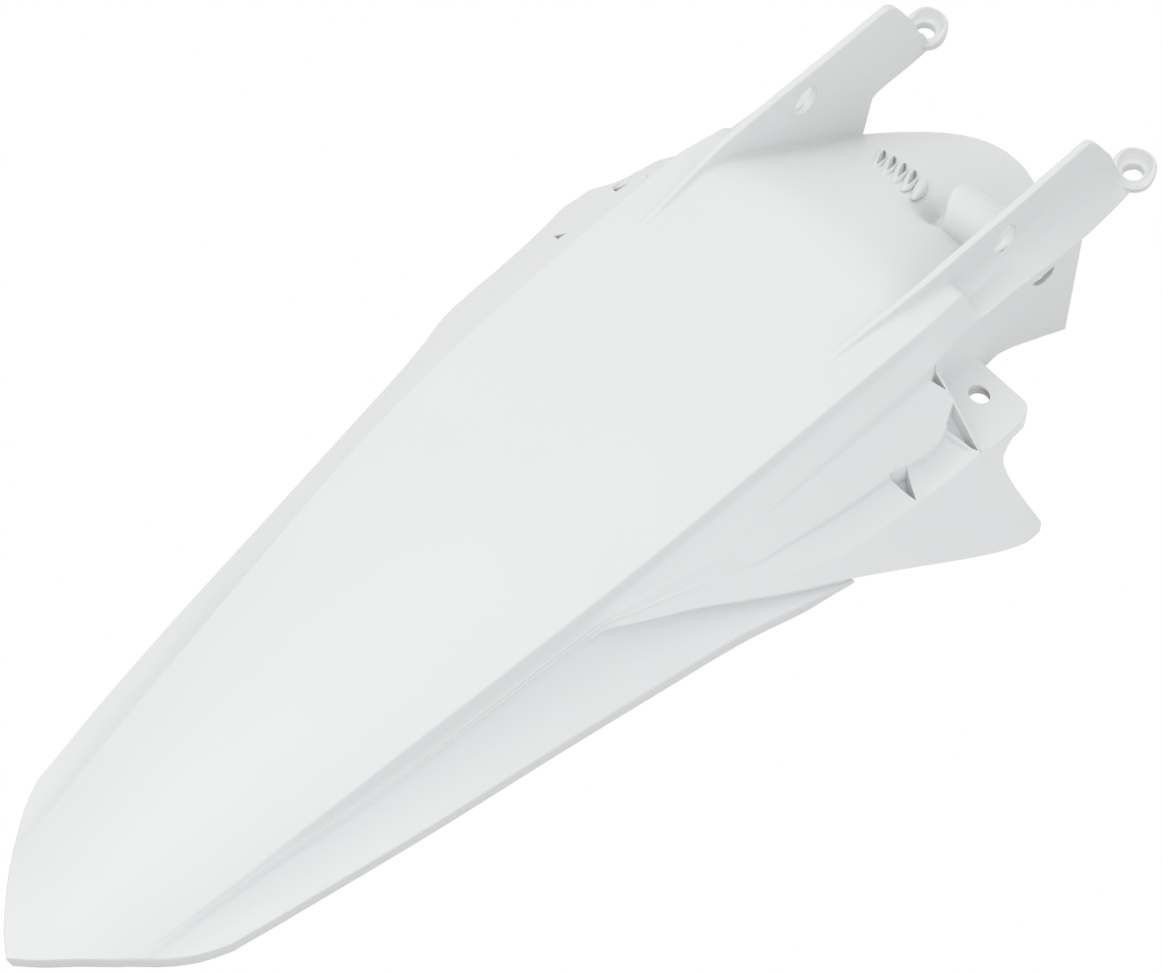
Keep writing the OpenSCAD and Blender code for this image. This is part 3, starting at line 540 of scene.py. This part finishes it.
            return mix(q, (u[0] + off[0] - 0.5 * n, u[1], u[2] + off[2] + 0.7 * n), opened)
        return q

    def rounded(self, points, radius_scale):
        """A row's points with an arc of five points in place of each corner."""
        out = []
        for n, (k, p) in enumerate(points):
            r = self.CORNER.get(int(k)) if k == int(k) else None
            if not r:
                out.append((k, p))
                continue
            a = Vector(points[n - 1][1]) if n else Vector(p)
            b = Vector(points[n + 1][1]) if n + 1 < len(points) else Vector(p)
            c = Vector(p)
            r *= radius_scale
            a = c + (a - c).normalized() * min(r, 0.45 * (a - c).length)
            b = c + (b - c).normalized() * min(r, 0.45 * (b - c).length)
            for m in range(5):
                t = m / 4
                q = a * (1 - t) ** 2 + c * (2 * t * (1 - t)) + b * t ** 2
                out.append((k + 0.01 * (m - 2), tuple(q)))
        return out

    def used(self, i, k):
        """Whether row i has faces beside line k, which may carry a corner's small offset."""
        for line, end in (
            (self.RAIL_IN, self.root_i), (self.RIDGE, self.last_i), (self.SIDE_FOOT, self.root_i),
            (self.RIDGE_2, self.fold_i), (self.WING_EDGE, self.fold_i + self.tab_n),
        ):
            if k + 0.005 < line:
                return i < end
        return i < self.close_i


def shell_mesh(lines):
    """The thick sheet of the whole moulding, right and left."""
    rows_out, rows_in = [], []
    for i in range(lines.last_i + 1):
        rows_out.append(lines.rounded([(k, lines.outer(i, k)) for k in lines.keys], 1.0))
        rows_in.append([p for _, p in lines.rounded([(k, lines.inner(i, k)) for k in lines.keys], 0.5)])
    keys = [k for k, _ in rows_out[0]]
    rows_out = [[p for _, p in row] for row in rows_out]
    m = len(keys)
    # Round the top of the rolled edge, across the rows: four rows in place of one
    for rows, r in ((rows_out, 1.5), (rows_in, 0.6)):
        arcs = [[], [], [], []]
        for c in range(m):
            a, o, b = (Vector(rows[n][c]) for n in (0, 1, 2))
            a = o + (a - o).normalized() * min(r, 0.45 * (a - o).length)
            b = o + (b - o).normalized() * min(r, 0.8 * (b - o).length)
            for n, t in enumerate((0, 1 / 3, 2 / 3, 1)):
                arcs[n].append(tuple(a * (1 - t) ** 2 + o * (2 * t * (1 - t)) + b * t ** 2))
        rows[1:2] = arcs
    added = 3
    count = len(rows_out)
    width = 2 * m - 1
    bm = bmesh.new()

    def lay(rows):
        grid = []
        for row in rows:
            left = [bm.verts.new((-p[0], p[1], p[2])) for p in reversed(row[1:])]
            grid.append(left + [bm.verts.new(p) for p in row])
        return grid

    top, under = lay(rows_out), lay(rows_in)
    for vert in (v for rows in (top, under) for row in rows[lines.fold_i :] for v in row):
        vert.co.z -= lines.form.dent(vert.co.x, vert.co.y)

    def key_at(c):
        return keys[abs(c - (m - 1))]

    def active(i, c):
        if not (0 <= i < count - 1 and 0 <= c < width - 1):
            return False
        return lines.used(max(0, i - added), min(key_at(c), key_at(c + 1)))

    for i in range(count - 1):
        for c in range(width - 1):
            if not active(i, c):
                continue
            a, b, d, e = top[i][c], top[i][c + 1], top[i + 1][c + 1], top[i + 1][c]
            bm.faces.new((a, b, d, e))
            p, q, r, s = under[i][c], under[i][c + 1], under[i + 1][c + 1], under[i + 1][c]
            bm.faces.new((s, r, q, p))
            if not active(i - 1, c):
                bm.faces.new((b, a, p, q))
            if not active(i + 1, c):
                bm.faces.new((e, d, r, s))
            if not active(i, c - 1):
                bm.faces.new((a, e, s, p))
            if not active(i, c + 1):
                bm.faces.new((d, b, q, r))
    loose = [v for v in bm.verts if not v.link_faces]
    bmesh.ops.delete(bm, geom=loose, context="VERTS")
    bmesh.ops.recalc_face_normals(bm, faces=bm.faces)
    return bm


def build_material():
    """Injection-moulded white polypropylene: a soft satin white with a fine grain and faint sink marks."""
    look = bpy.context.scene.fender_look
    mat = bpy.data.materials.new("injection-moulded white polypropylene")
    mat.use_nodes = True
    tree = mat.node_tree
    tree.nodes.clear()
    where = add_node(tree, "ShaderNodeTexCoord").outputs["Object"]

    def noise(scale, detail):
        inputs = [("Vector", where), ("Scale", scale), ("Detail", detail)]
        return add_node(tree, "ShaderNodeTexNoise", inputs).outputs["Fac"]

    # Faint cloudiness of the pigment, patches of about 60 mm
    cloud = noise(16.0, 3.0)
    tint = add_node(tree, "ShaderNodeMix", [("Factor", cloud)], data_type="RGBA")
    base = tuple(look.plastic) + (1.0,)
    tint.inputs[6].default_value = tuple(0.975 * c for c in base[:3]) + (1.0,)
    tint.inputs[7].default_value = base
    # Moulded grain: the real one is about 0.1 mm, drawn at 0.9 mm so that it shows
    grain = noise(1100.0, 2.0)
    sink = noise(22.0, 1.0)
    fine = add_node(tree, "ShaderNodeBump", [("Height", grain), ("Strength", 0.06),
        ("Distance", 0.0002)])
    wavy = add_node(tree, "ShaderNodeBump", [("Height", sink), ("Strength", 0.12),
        ("Distance", 0.004), ("Normal", fine.outputs["Normal"])])
    shine = add_node(tree, "ShaderNodeMapRange", [("Value", grain), ("To Min", 0.36),
        ("To Max", 0.46)])
    skin = add_node(tree, "ShaderNodeBsdfPrincipled", [("Base Color", tint.outputs[2]),
        ("Roughness", shine.outputs["Result"]), ("Normal", wavy.outputs["Normal"]), ("IOR", 1.49)])
    add_node(tree, "ShaderNodeOutputMaterial", [("Surface", skin.outputs["BSDF"])])
    return mat


def solid(name, build):
    """New mesh object from a function that fills a bmesh, in millimetres along the fender."""
    bm = bmesh.new()
    build(bm)
    bmesh.ops.recalc_face_normals(bm, faces=bm.faces)
    mesh = bpy.data.meshes.new(name)
    bm.to_mesh(mesh)
    bm.free()
    obj = bpy.data.objects.new(name, mesh)
    bpy.context.scene.collection.objects.link(obj)
    return obj


def walls(bm, a, b):
    """Faces between two rings of as many vertices each."""
    for i in range(len(a)):
        j = (i + 1) % len(a)
        bm.faces.new((a[i], a[j], b[j], b[i]))


def turned(bm, profile, matrix, n=64, lower=None):
    """Solid of revolution of (radius, height) points that start and end on the axis.

    A lower function changes a height by its angle.
    """
    rings = []
    for r, z in profile:
        if r < 1e-6:
            rings.append([bm.verts.new(matrix @ Vector((0, 0, z)))])
        else:
            ring = []
            for i in range(n):
                a = math.tau * i / n
                height = lower(z, a) if lower else z
                ring.append(bm.verts.new(matrix @ Vector((r * math.cos(a), r * math.sin(a), height))))
            rings.append(ring)
    for a, b in zip(rings, rings[1:]):
        if len(a) == len(b):
            walls(bm, a, b)
            continue
        for i in range(n):
            j = (i + 1) % n
            bm.faces.new((a[0], b[j], b[i]) if len(a) == 1 else (a[i], a[j], b[0]))


def prism(bm, plan, tops, bottoms):
    """Solid between two copies of a plan, with a height for each corner."""
    top = [bm.verts.new((p[0], p[1], z)) for p, z in zip(plan, tops)]
    low = [bm.verts.new((p[0], p[1], z)) for p, z in zip(plan, bottoms)]
    bm.faces.new(top)
    bm.faces.new(low[::-1])
    for i in range(len(plan)):
        j = (i + 1) % len(plan)
        bm.faces.new((top[j], top[i], low[i], low[j]))


def loft(bm, rows):
    """Closed solid through rows of as many points each."""
    for a, b in zip(rows, rows[1:]):
        walls(bm, a, b)
    bm.faces.new(rows[0][::-1])
    bm.faces.new(rows[-1])


def arc(cx, cz, r, a, b, n=5):
    """Points of an arc from angle a to b, in degrees."""
    angles = [math.radians(mix(a, b, i / n)) for i in range(n + 1)]
    return [(cx + r * math.cos(angle), cz + r * math.sin(angle)) for angle in angles]


def settle(obj, mod):
    """Puts a modifier's result in place of the object's mesh and removes the modifier."""
    graph = bpy.context.evaluated_depsgraph_get()
    graph.update()
    mesh = bpy.data.meshes.new_from_object(obj.evaluated_get(graph))
    obj.modifiers.remove(mod)
    old, obj.data = obj.data, mesh
    bpy.data.meshes.remove(old)


def boolean(target, other, operation):
    """Joins or cuts with another object, which is then removed."""
    mod = target.modifiers.new("join", "BOOLEAN")
    mod.operation = operation
    mod.solver = "MANIFOLD"
    mod.object = other
    settle(target, mod)
    bpy.data.objects.remove(other, do_unlink=True)


def eyelets(bm, f):
    """Bosses at the tips of the arms, their rims high at the far side and low at the flange."""
    seat = -14.6
    outline = [(0, -18.8)] + arc(8.6, -18.0, 0.8, -90, -20, 3) + [(10.2, -15.2)]
    outline += arc(8.8, -11.7, 1.7, 0, 90, 6) + [(0, -10)]
    for side in (-1, 1):
        def rim(z, a):
            high = 0.5 + 0.5 * math.cos(a - math.radians(90 + 12 * side))
            return z if z < seat else seat + (z - seat) * (0.02 + 1.23 * ease(0.1, 0.85, high))

        turned(bm, outline, Matrix.Translation((side * f.EYELET_X, f.eye, 0)), lower=rim)


def eyelet_cuts(bm, f):
    """Bores of the eyelets with their rounded, dished seats."""
    bore = 5
    outline = [(0, -30), (bore, -30), (bore, -15.1)] + arc(5.6, -15.1, 0.6, 180, 90, 4)
    outline += arc(5.9, -13.0, 1.5, -90, -35, 4) + [(8.2, -10.5), (9.2, -7.5), (9.2, 0), (0, 0)]
    for side in (-1, 1):
        turned(bm, outline, Matrix.Translation((side * f.EYELET_X, f.eye, 0)))


def tabs(bm, f):
    """Side tabs with the bosses under their bores."""
    plan, thick = f.tab_plan(), 2.9
    x, y = f.TAB_BORE
    z = f.tab_z(x, y)
    boss = [(0, z - 6), (7, z - 6), (7.5, z - 5.5), (7.5, z - 2.6), (0, z - 2.6)]
    for side in (-1, 1):
        tops = [f.tab_z(*p) for p in plan]
        prism(bm, [(side * p[0], p[1]) for p in plan], tops, [top - thick for top in tops])
        turned(bm, boss, Matrix.Translation((side * x, y, 0)), 48)


def tab_cuts(bm, f):
    """Bores of the side tabs."""
    bore = 5
    x, y = f.TAB_BORE
    top = f.tab_z(x, y) + 12
    for side in (-1, 1):
        turned(bm, [(0, -50), (bore, -50), (bore, top), (0, top)], Matrix.Translation((side * x, y, 0)), 56)


HUMP_START, HUMP_RUN = Vector((25.5, 518, 3)), Vector((45.5, 7, -12))
HUMP_R, TUNNEL = 12.5, 9.7  # Radii of the hump and of the tunnel under it


def hump(bm, f):
    """Half-round hump for a cable, its feet in the splash guard's wall."""
    start, axis = HUMP_START, HUMP_RUN.normalized()
    across = Vector((-axis.y, axis.x, 0)).normalized()
    up = axis.cross(across).normalized()
    if up.z < 0:
        up = -up
    steps, n = [0, 0.35, 1.2, 3] + [3 + 31 * i / 14 for i in range(1, 15)], 28
    rows = []
    for t in steps:
        # The mouth's edge is rounded
        curl = 0.9 * (1 - clamp(t / 1.2)) ** 2
        ring = []
        for r, feet in ((HUMP_R - curl, 1), (TUNNEL + 0.4 * curl, -1)):
            part = []
            for i in range(n + 1):
                a = math.pi * i / n
                # The mouth's top reaches back, and is a little flatter than the rest
                back = 4.6 * math.sin(a) ** 2 * (1 - ease(0, 30, t))
                flat = 1 - 0.15 * (1 - ease(0, 20, t))
                p = start + axis * (t - back) + across * (r * math.cos(a)) + up * (r * flat * math.sin(a))
                part.append(p)
            for end, index in ((part[0], 0), (part[-1], n + 2)):
                part.insert(index, Vector((end.x, end.y, f.guard_h(min(end.x, 56), end.y) - 1.6)))
            ring += part if feet == 1 else part[::-1]
        rows.append([bm.verts.new(p) for p in ring])
    for a, b in zip(rows, rows[1:]):
        walls(bm, a, b)
    for row in (rows[0], rows[-1]):
        m = len(row)
        for i in range(m // 2 - 1):
            bm.faces.new((row[i], row[i + 1], row[m - 2 - i], row[m - 1 - i]))


def tunnel_cut(bm):
    """Where the tunnel under the hump leaves through the right arm."""
    turn = HUMP_RUN.normalized().to_track_quat("Z", "Y").to_matrix().to_4x4()
    near, far = 27.5, 36.6
    turned(bm, [(0, near), (TUNNEL, near), (TUNNEL, far), (0, far)], Matrix.Translation(HUMP_START) @ turn)


def notch_cut(bm, f):
    """Shallow notch in the right side wall below the flange."""
    deep, outside = 0.4, 80
    plan = [(513, -5.2), (515.4, -8.6), (519, -12), (523.2, -13.8), (528.3, -13.4), (529.6, -11),
        (529.6, -8.4)]
    near = [bm.verts.new((along(f.side_foot_x, y) - deep, y, z)) for y, z in plan]
    far = [bm.verts.new((outside, y, z)) for y, z in plan]
    bm.faces.new(near)
    bm.faces.new(far[::-1])
    for i in range(len(plan)):
        j = (i + 1) % len(plan)
        bm.faces.new((near[i], far[i], far[j], near[j]))


def web_cuts(bm):
    """Lightening holes through the webs of the arms."""
    r, through = 7.5, 11
    for side in (-1, 1):
        m = Matrix.Translation((side * 55.9, 509.3, 17.6)) @ Matrix.Rotation(side * math.pi / 2, 4, "Y")
        turned(bm, [(0, 0), (r, 0), (r, through), (0, through)], m)


# Pockets of the side panel: their plans, and how far below the panel each corner of a block's top lies
WEDGES = [
    ([(82.8, 433.2), (80.8, 438.6), (89.3, 438.6)], (7, 7, 2.5)),
    ([(92.5, 438.3), (109.2, 438.6), (96.5, 429)], (2.5, 2.5, 7.5)),
    ([(96.2, 391.5), (97.8, 402), (107.4, 398)], (2.5, 6, 2.2)),
]


def grown(plan, d):
    """A triangle with its corners moved outwards."""
    cx, cy = (sum(p[i] for p in plan) / 3 for i in (0, 1))
    out = []
    for x, y in plan:
        reach = math.hypot(x - cx, y - cy)
        out.append((x + d * (x - cx) / reach, y + d * (y - cy) / reach))
    return out


def wedge(bm, f, side, plan, high, low, skin=None):
    """Three-sided block under the side panel; with a skin, its top stays inside the wall."""
    cover, above = 2.3, 90
    z = [f.panel_z(*p) for p in plan]
    tops = [a - h for a, h in zip(z, high)]
    for i, (x, y) in enumerate(plan):
        if skin and y < f.s.fold_y - 0.5:
            hit = skin.ray_cast(Vector((x, y, above)), Vector((0, 0, -1)))[0]
            tops[i] = hit.z - cover if hit else tops[i]
    prism(bm, [(side * p[0], p[1]) for p in plan], tops, [a - low for a in z])


def build_vents(f, sizes):
    """Vent slots as cutters and their ribs, spread by a Geometry Nodes group."""
    first_x, run = -22.2, 86.4
    tree = bpy.data.node_groups.new("row of vents", "GeometryNodeTree")
    face = tree.interface
    kinds = {"Geometry": "Geometry", "Count": "Int", "Pitch": "Vector", "Crown": "Float"}
    kinds["Material"] = "Material"
    for name, kind in kinds.items():
        face.new_socket(name, in_out="INPUT", socket_type="NodeSocket" + kind)
    face.new_socket("Geometry", in_out="OUTPUT", socket_type="NodeSocketGeometry")
    given = add_node(tree, "NodeGroupInput")
    row = add_node(tree, "GeometryNodeMeshLine", [("Count", given.outputs["Count"]),
        ("Offset", given.outputs["Pitch"])])
    where = add_node(tree, "GeometryNodeInputPosition")
    split = add_node(tree, "ShaderNodeSeparateXYZ", [("Vector", where.outputs["Position"])])
    # The guard's crown lowers the vents away from its middle
    shifted = add_node(tree, "ShaderNodeMath", [(0, split.outputs["X"]), (1, first_x)], operation="ADD")
    squared = add_node(tree, "ShaderNodeMath", [(0, shifted.outputs[0]), (1, 2.0)], operation="POWER")
    inputs = [(0, squared.outputs[0]), (1, given.outputs["Crown"])]
    drop = add_node(tree, "ShaderNodeMath", inputs, operation="MULTIPLY")
    offset = add_node(tree, "ShaderNodeCombineXYZ", [("Z", drop.outputs[0])])
    placed = add_node(tree, "GeometryNodeSetPosition", [("Geometry", row.outputs["Mesh"]),
        ("Offset", offset.outputs["Vector"])])
    copies = add_node(tree, "GeometryNodeInstanceOnPoints", [("Points", placed.outputs["Geometry"]),
        ("Instance", given.outputs["Geometry"])])
    real = add_node(tree, "GeometryNodeRealizeInstances", [("Geometry", copies.outputs["Instances"])])
    painted = add_node(tree, "GeometryNodeSetMaterial", [("Geometry", real.outputs["Geometry"]),
        ("Material", given.outputs["Material"])])
    add_node(tree, "NodeGroupOutput", [("Geometry", painted.outputs["Geometry"])])
    sockets = {item.name: item.identifier for item in face.items_tree if item.in_out == "INPUT"}
    crown = 18.3 / f.GUARD_HALF ** 2
    x, y = first_x, f.s.fold_y + run
    # The slots lie askew on the guard, which falls away to the front
    skew, fall = math.radians(29), math.radians(-33)
    m = Matrix.Translation((x, y, f.guard_h(x, y) + crown * x * x))
    m = m @ Matrix.Rotation(skew, 4, "Z") @ Matrix.Rotation(fall, 4, "X")
    half = sizes.vent_len / 2

    def slot(bm):
        # A crescent scooped out beside a rib, deepest at its crisp right edge
        rows, n = [], 16
        for i in range(n + 1):
            t = i / n
            v, a = mix(-half - 1.5, half + 0.5, t), math.sin(math.pi * mix(0.04, 0.96, t))
            left, right, deep = -1.6 - 1.0 * a, -1.2 + 2.4 * a, -0.6 - 2.6 * a
            bottom = ((right - 0.5 * a, v, deep), (mix(left, right, 0.45), v, 0.5 * deep))
            rows.append([bm.verts.new(m @ Vector(p)) for p in ((left, v, 6), (right, v, 6)) + bottom])
        loft(bm, rows)

    def through(bm):
        # The narrow slot through the wall
        left, right, near, far = 0.1, 0.8, -0.3 * half, 0.5 * half
        prism(bm, [(left, near), (right, near), (right, far), (left, far)], [-1] * 4, [-12] * 4)
        bmesh.ops.transform(bm, matrix=m, verts=bm.verts)

    def rib(bm):
        # A rounded rib that dies away at both ends
        rows, n, sunk = [], 22, 1.4
        for i in range(n + 1):
            t = i / n
            v, a = mix(-half - 6, half + 5, t), math.sin(math.pi * mix(0.02, 0.98, t)) ** 0.55
            u = -sizes.vent_pitch / 2 + 1.4 * (a - 0.5) + 1.2
            row = []
            for q in range(180, -1, -20):
                out, up = math.cos(math.radians(q)), max(0, math.sin(math.radians(q))) ** 0.7
                top = -sunk + (0.7 * sizes.vent_rise + sunk) * a * up
                row.append(bm.verts.new(m @ Vector((u + 3.1 * a * out, v, top))))
            rows.append(row)
        loft(bm, rows)

    back, plastic = 0.85, bpy.data.materials["injection-moulded white polypropylene"]
    made = []
    for name, build, extra in (("vent slots", slot, 0), ("vent gaps", through, 0), ("vent ribs", rib, 1)):
        obj = solid(name, build)
        mod = obj.modifiers.new("row", "NODES")
        mod.node_group = tree
        mod[sockets["Count"]] = sizes.vent_n + extra
        pitch = mod[sockets["Pitch"]]
        pitch[0], pitch[1], pitch[2] = sizes.vent_pitch, -back, back * 0.71
        mod[sockets["Crown"]] = -crown
        mod[sockets["Material"]] = plastic
        settle(obj, mod)
        made.append(obj)
    return made


def set_on_ground(obj, f):
    """Turns the moulding to stand on its nose and side walls, in metres, inside the solid's box."""
    s, boss_r, boss_low = f.s, 10.5, 19
    rise = f.NOSE_Z - s.lip_h - f.NOSE_LEAN + s.side_wall_drop
    pitch = math.atan(rise / (f.root + s.nose_len - f.NOSE_LEAN))
    c, n = math.cos(pitch), math.sin(pitch)
    lift = s.side_wall_drop * c - f.root * n
    front = (f.eye + boss_r) * c + boss_low * n
    rear = s.nose_len * c + f.NOSE_Z * n
    shift = (rear - front) / 2
    low, high = CAD_BOX
    # The wing tips would reach 1 mm below the solid, so they end on its box
    for v in obj.data.vertices:
        x, y, z = v.co
        p = (x * MM, (shift + y * c - z * n) * MM, (lift + y * n + z * c) * MM)
        v.co = [min(b, max(a, q)) for a, b, q in zip(low, high, p)]


def shade(mesh, angle=38):
    """Smooth shading, with sharp edges kept where the faces turn by more than the angle."""
    bm = bmesh.new()
    bm.from_mesh(mesh)
    for face in bm.faces:
        face.smooth = True
    for edge in bm.edges:
        edge.smooth = len(edge.link_faces) == 2 and edge.calc_face_angle(0) < math.radians(angle)
    bm.to_mesh(mesh)
    bm.free()


class FENDER_OT_moulding(bpy.types.Operator):
    """Builds the fender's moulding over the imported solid"""

    bl_idname = "fender.moulding"
    bl_label = "Build moulding"

    def execute(self, context):
        sizes = context.scene.fender_sizes
        form = Form(sizes)
        plastic = build_material()
        bm = shell_mesh(Lines(form))
        skin = BVHTree.FromBMesh(bm)
        mesh = bpy.data.meshes.new("moulding")
        bm.to_mesh(mesh)
        bm.free()
        body = bpy.data.objects.new("moulding", mesh)
        context.scene.collection.objects.link(body)
        slots, gaps, ribs = build_vents(form, sizes)

        pocket_wall, pocket_depth, floor = 3.5, 12, 2.2

        def pockets(bm, only):
            for side in (-1, 1):
                for plan, high in (WEDGES[i] for i in only):
                    wedge(bm, form, side, grown(plan, pocket_wall), high, pocket_depth + floor, skin)

        def pocket_cuts(bm):
            for side in (-1, 1):
                for plan, _ in WEDGES:
                    wedge(bm, form, side, plan, [-pocket_depth] * 3, pocket_depth)

        def bosses(bm):
            eyelets(bm, form)
            hump(bm, form)
            pockets(bm, (0, 2))

        boolean(body, solid("bosses", bosses), "UNION")
        boolean(body, solid("tabs", lambda bm: tabs(bm, form)), "UNION")
        boolean(body, solid("pockets", lambda bm: pockets(bm, (1,))), "UNION")
        boolean(body, ribs, "UNION")

        def holes(bm):
            eyelet_cuts(bm, form)
            tab_cuts(bm, form)
            web_cuts(bm)
            notch_cut(bm, form)
            pocket_cuts(bm)

        boolean(body, solid("holes", holes), "DIFFERENCE")
        boolean(body, solid("tunnel", tunnel_cut), "DIFFERENCE")
        boolean(body, slots, "DIFFERENCE")
        boolean(body, gaps, "DIFFERENCE")
        if len(body.data.polygons) < 1000:
            self.report({"ERROR"}, "The moulding came out empty")
            raise RuntimeError("the moulding came out empty")
        set_on_ground(body, form)
        shade(body.data)
        body.data.materials.clear()
        body.data.materials.append(plastic)
        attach(body, "root")
        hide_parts("fender")
        return {"FINISHED"}


class FENDER_OT_stage(bpy.types.Operator):
    """Sets up the white studio, its lights and the camera"""

    bl_idname = "fender.stage"
    bl_label = "Build studio"

    def execute(self, context):
        scene = context.scene
        look = scene.fender_look
        floor_mesh = bpy.data.meshes.new("floor")
        size = 6.0
        floor_mesh.from_pydata([(-size, -size, 0), (size, -size, 0), (size, size, 0), (-size, size, 0)], [],
            [(0, 1, 2, 3)])
        floor = bpy.data.objects.new("floor", floor_mesh)
        scene.collection.objects.link(floor)
        paper = bpy.data.materials.new("white studio paper")
        paper.use_nodes = True
        tree = paper.node_tree
        tree.nodes.clear()
        # The paper is plain white to the camera and to reflections, and takes soft light elsewhere
        path = add_node(tree, "ShaderNodeLightPath")
        seen = add_node(tree, "ShaderNodeMath", [(0, path.outputs["Is Camera Ray"]),
            (1, path.outputs["Is Glossy Ray"])], operation="MAXIMUM")
        white = add_node(tree, "ShaderNodeEmission", [("Color", srgb("#FFFFFF")), ("Strength", 1.0)])
        matte = add_node(tree, "ShaderNodeBsdfDiffuse", [("Color", srgb("#CCCCCC"))])
        both = add_node(tree, "ShaderNodeMixShader", [("Fac", seen.outputs[0]), (1, matte.outputs[0]),
            (2, white.outputs[0])])
        add_node(tree, "ShaderNodeOutputMaterial", [("Surface", both.outputs[0])])
        floor_mesh.materials.append(paper)

        world = scene.world = scene.world or bpy.data.worlds.new("studio")
        world.use_nodes = True
        back = world.node_tree.nodes.get("Background") or add_node(world.node_tree, "ShaderNodeBackground")
        back.inputs["Color"].default_value = srgb("#FFFFFF")
        back.inputs["Strength"].default_value = look.sky
        for name, place, aim, wide, power, tint in (
            ("key", (-0.5, -0.6, 1.7), (0.0, 0.0, 0.05), 1.4, look.key, "#FFFFFF"),
            ("fill", (1.6, -0.3, 0.9), (0.0, 0.0, 0.05), 1.6, look.fill, "#EEF4FF"),
        ):
            light = bpy.data.lights.new(name, "AREA")
            light.shape = "DISK"
            light.size = wide
            light.energy = power
            light.color = srgb(tint)[:3]
            lamp = bpy.data.objects.new(name, light)
            turn = (Vector(aim) - Vector(place)).to_track_quat("-Z", "Y").to_matrix().to_4x4()
            lamp.matrix_world = Matrix.Translation(place) @ turn
            scene.collection.objects.link(lamp)

        # The photo's camera, solved from the mirrored edges of the fender
        data = bpy.data.cameras.new("photo angle")
        data.sensor_fit = "HORIZONTAL"
        data.sensor_width = 36.0
        data.lens = 154.905
        data.clip_start = 0.05
        data.clip_end = 50.0
        camera = bpy.data.objects.new("photo angle", data)
        right = Vector((0.730805, 0.677401, 0.083980))
        down = Vector((0.552018, -0.514157, -0.656445))
        right.normalize()
        down = (down - right * down.dot(right)).normalized()
        ahead = right.cross(down)
        matrix = Matrix((right, -down, -ahead)).transposed().to_4x4()
        matrix.translation = Vector((0.8654184, -1.119832, 1.648669))
        camera.matrix_world = matrix
        scene.collection.objects.link(camera)
        scene.camera = camera
        scene.view_settings.view_transform = "Standard"
        scene.view_settings.look = "None"
        return {"FINISHED"}


class FENDER_PT_panel(bpy.types.Panel):
    """Sizes and buttons in the sidebar"""

    bl_idname = "FENDER_PT_panel"
    bl_label = "Fender"
    bl_space_type = "VIEW_3D"
    bl_region_type = "UI"
    bl_category = "Fender"

    def draw(self, context):
        layout = self.layout
        for group in (context.scene.fender_sizes, context.scene.fender_look):
            for name in group.__annotations__:
                layout.prop(group, name)
        layout.operator(FENDER_OT_moulding.bl_idname)
        layout.operator(FENDER_OT_stage.bl_idname)


CLASSES = (FenderSizes, FenderLook, FENDER_OT_moulding, FENDER_OT_stage, FENDER_PT_panel)


def register():
    for cls in CLASSES:
        bpy.utils.register_class(cls)
    bpy.types.Scene.fender_sizes = bpy.props.PointerProperty(type=FenderSizes)
    bpy.types.Scene.fender_look = bpy.props.PointerProperty(type=FenderLook)


def unregister():
    del bpy.types.Scene.fender_look
    del bpy.types.Scene.fender_sizes
    for cls in reversed(CLASSES):
        bpy.utils.unregister_class(cls)


def main():
    register()
    bpy.ops.fender.moulding()
    bpy.ops.fender.stage()


if __name__ == "__main__":
    main()
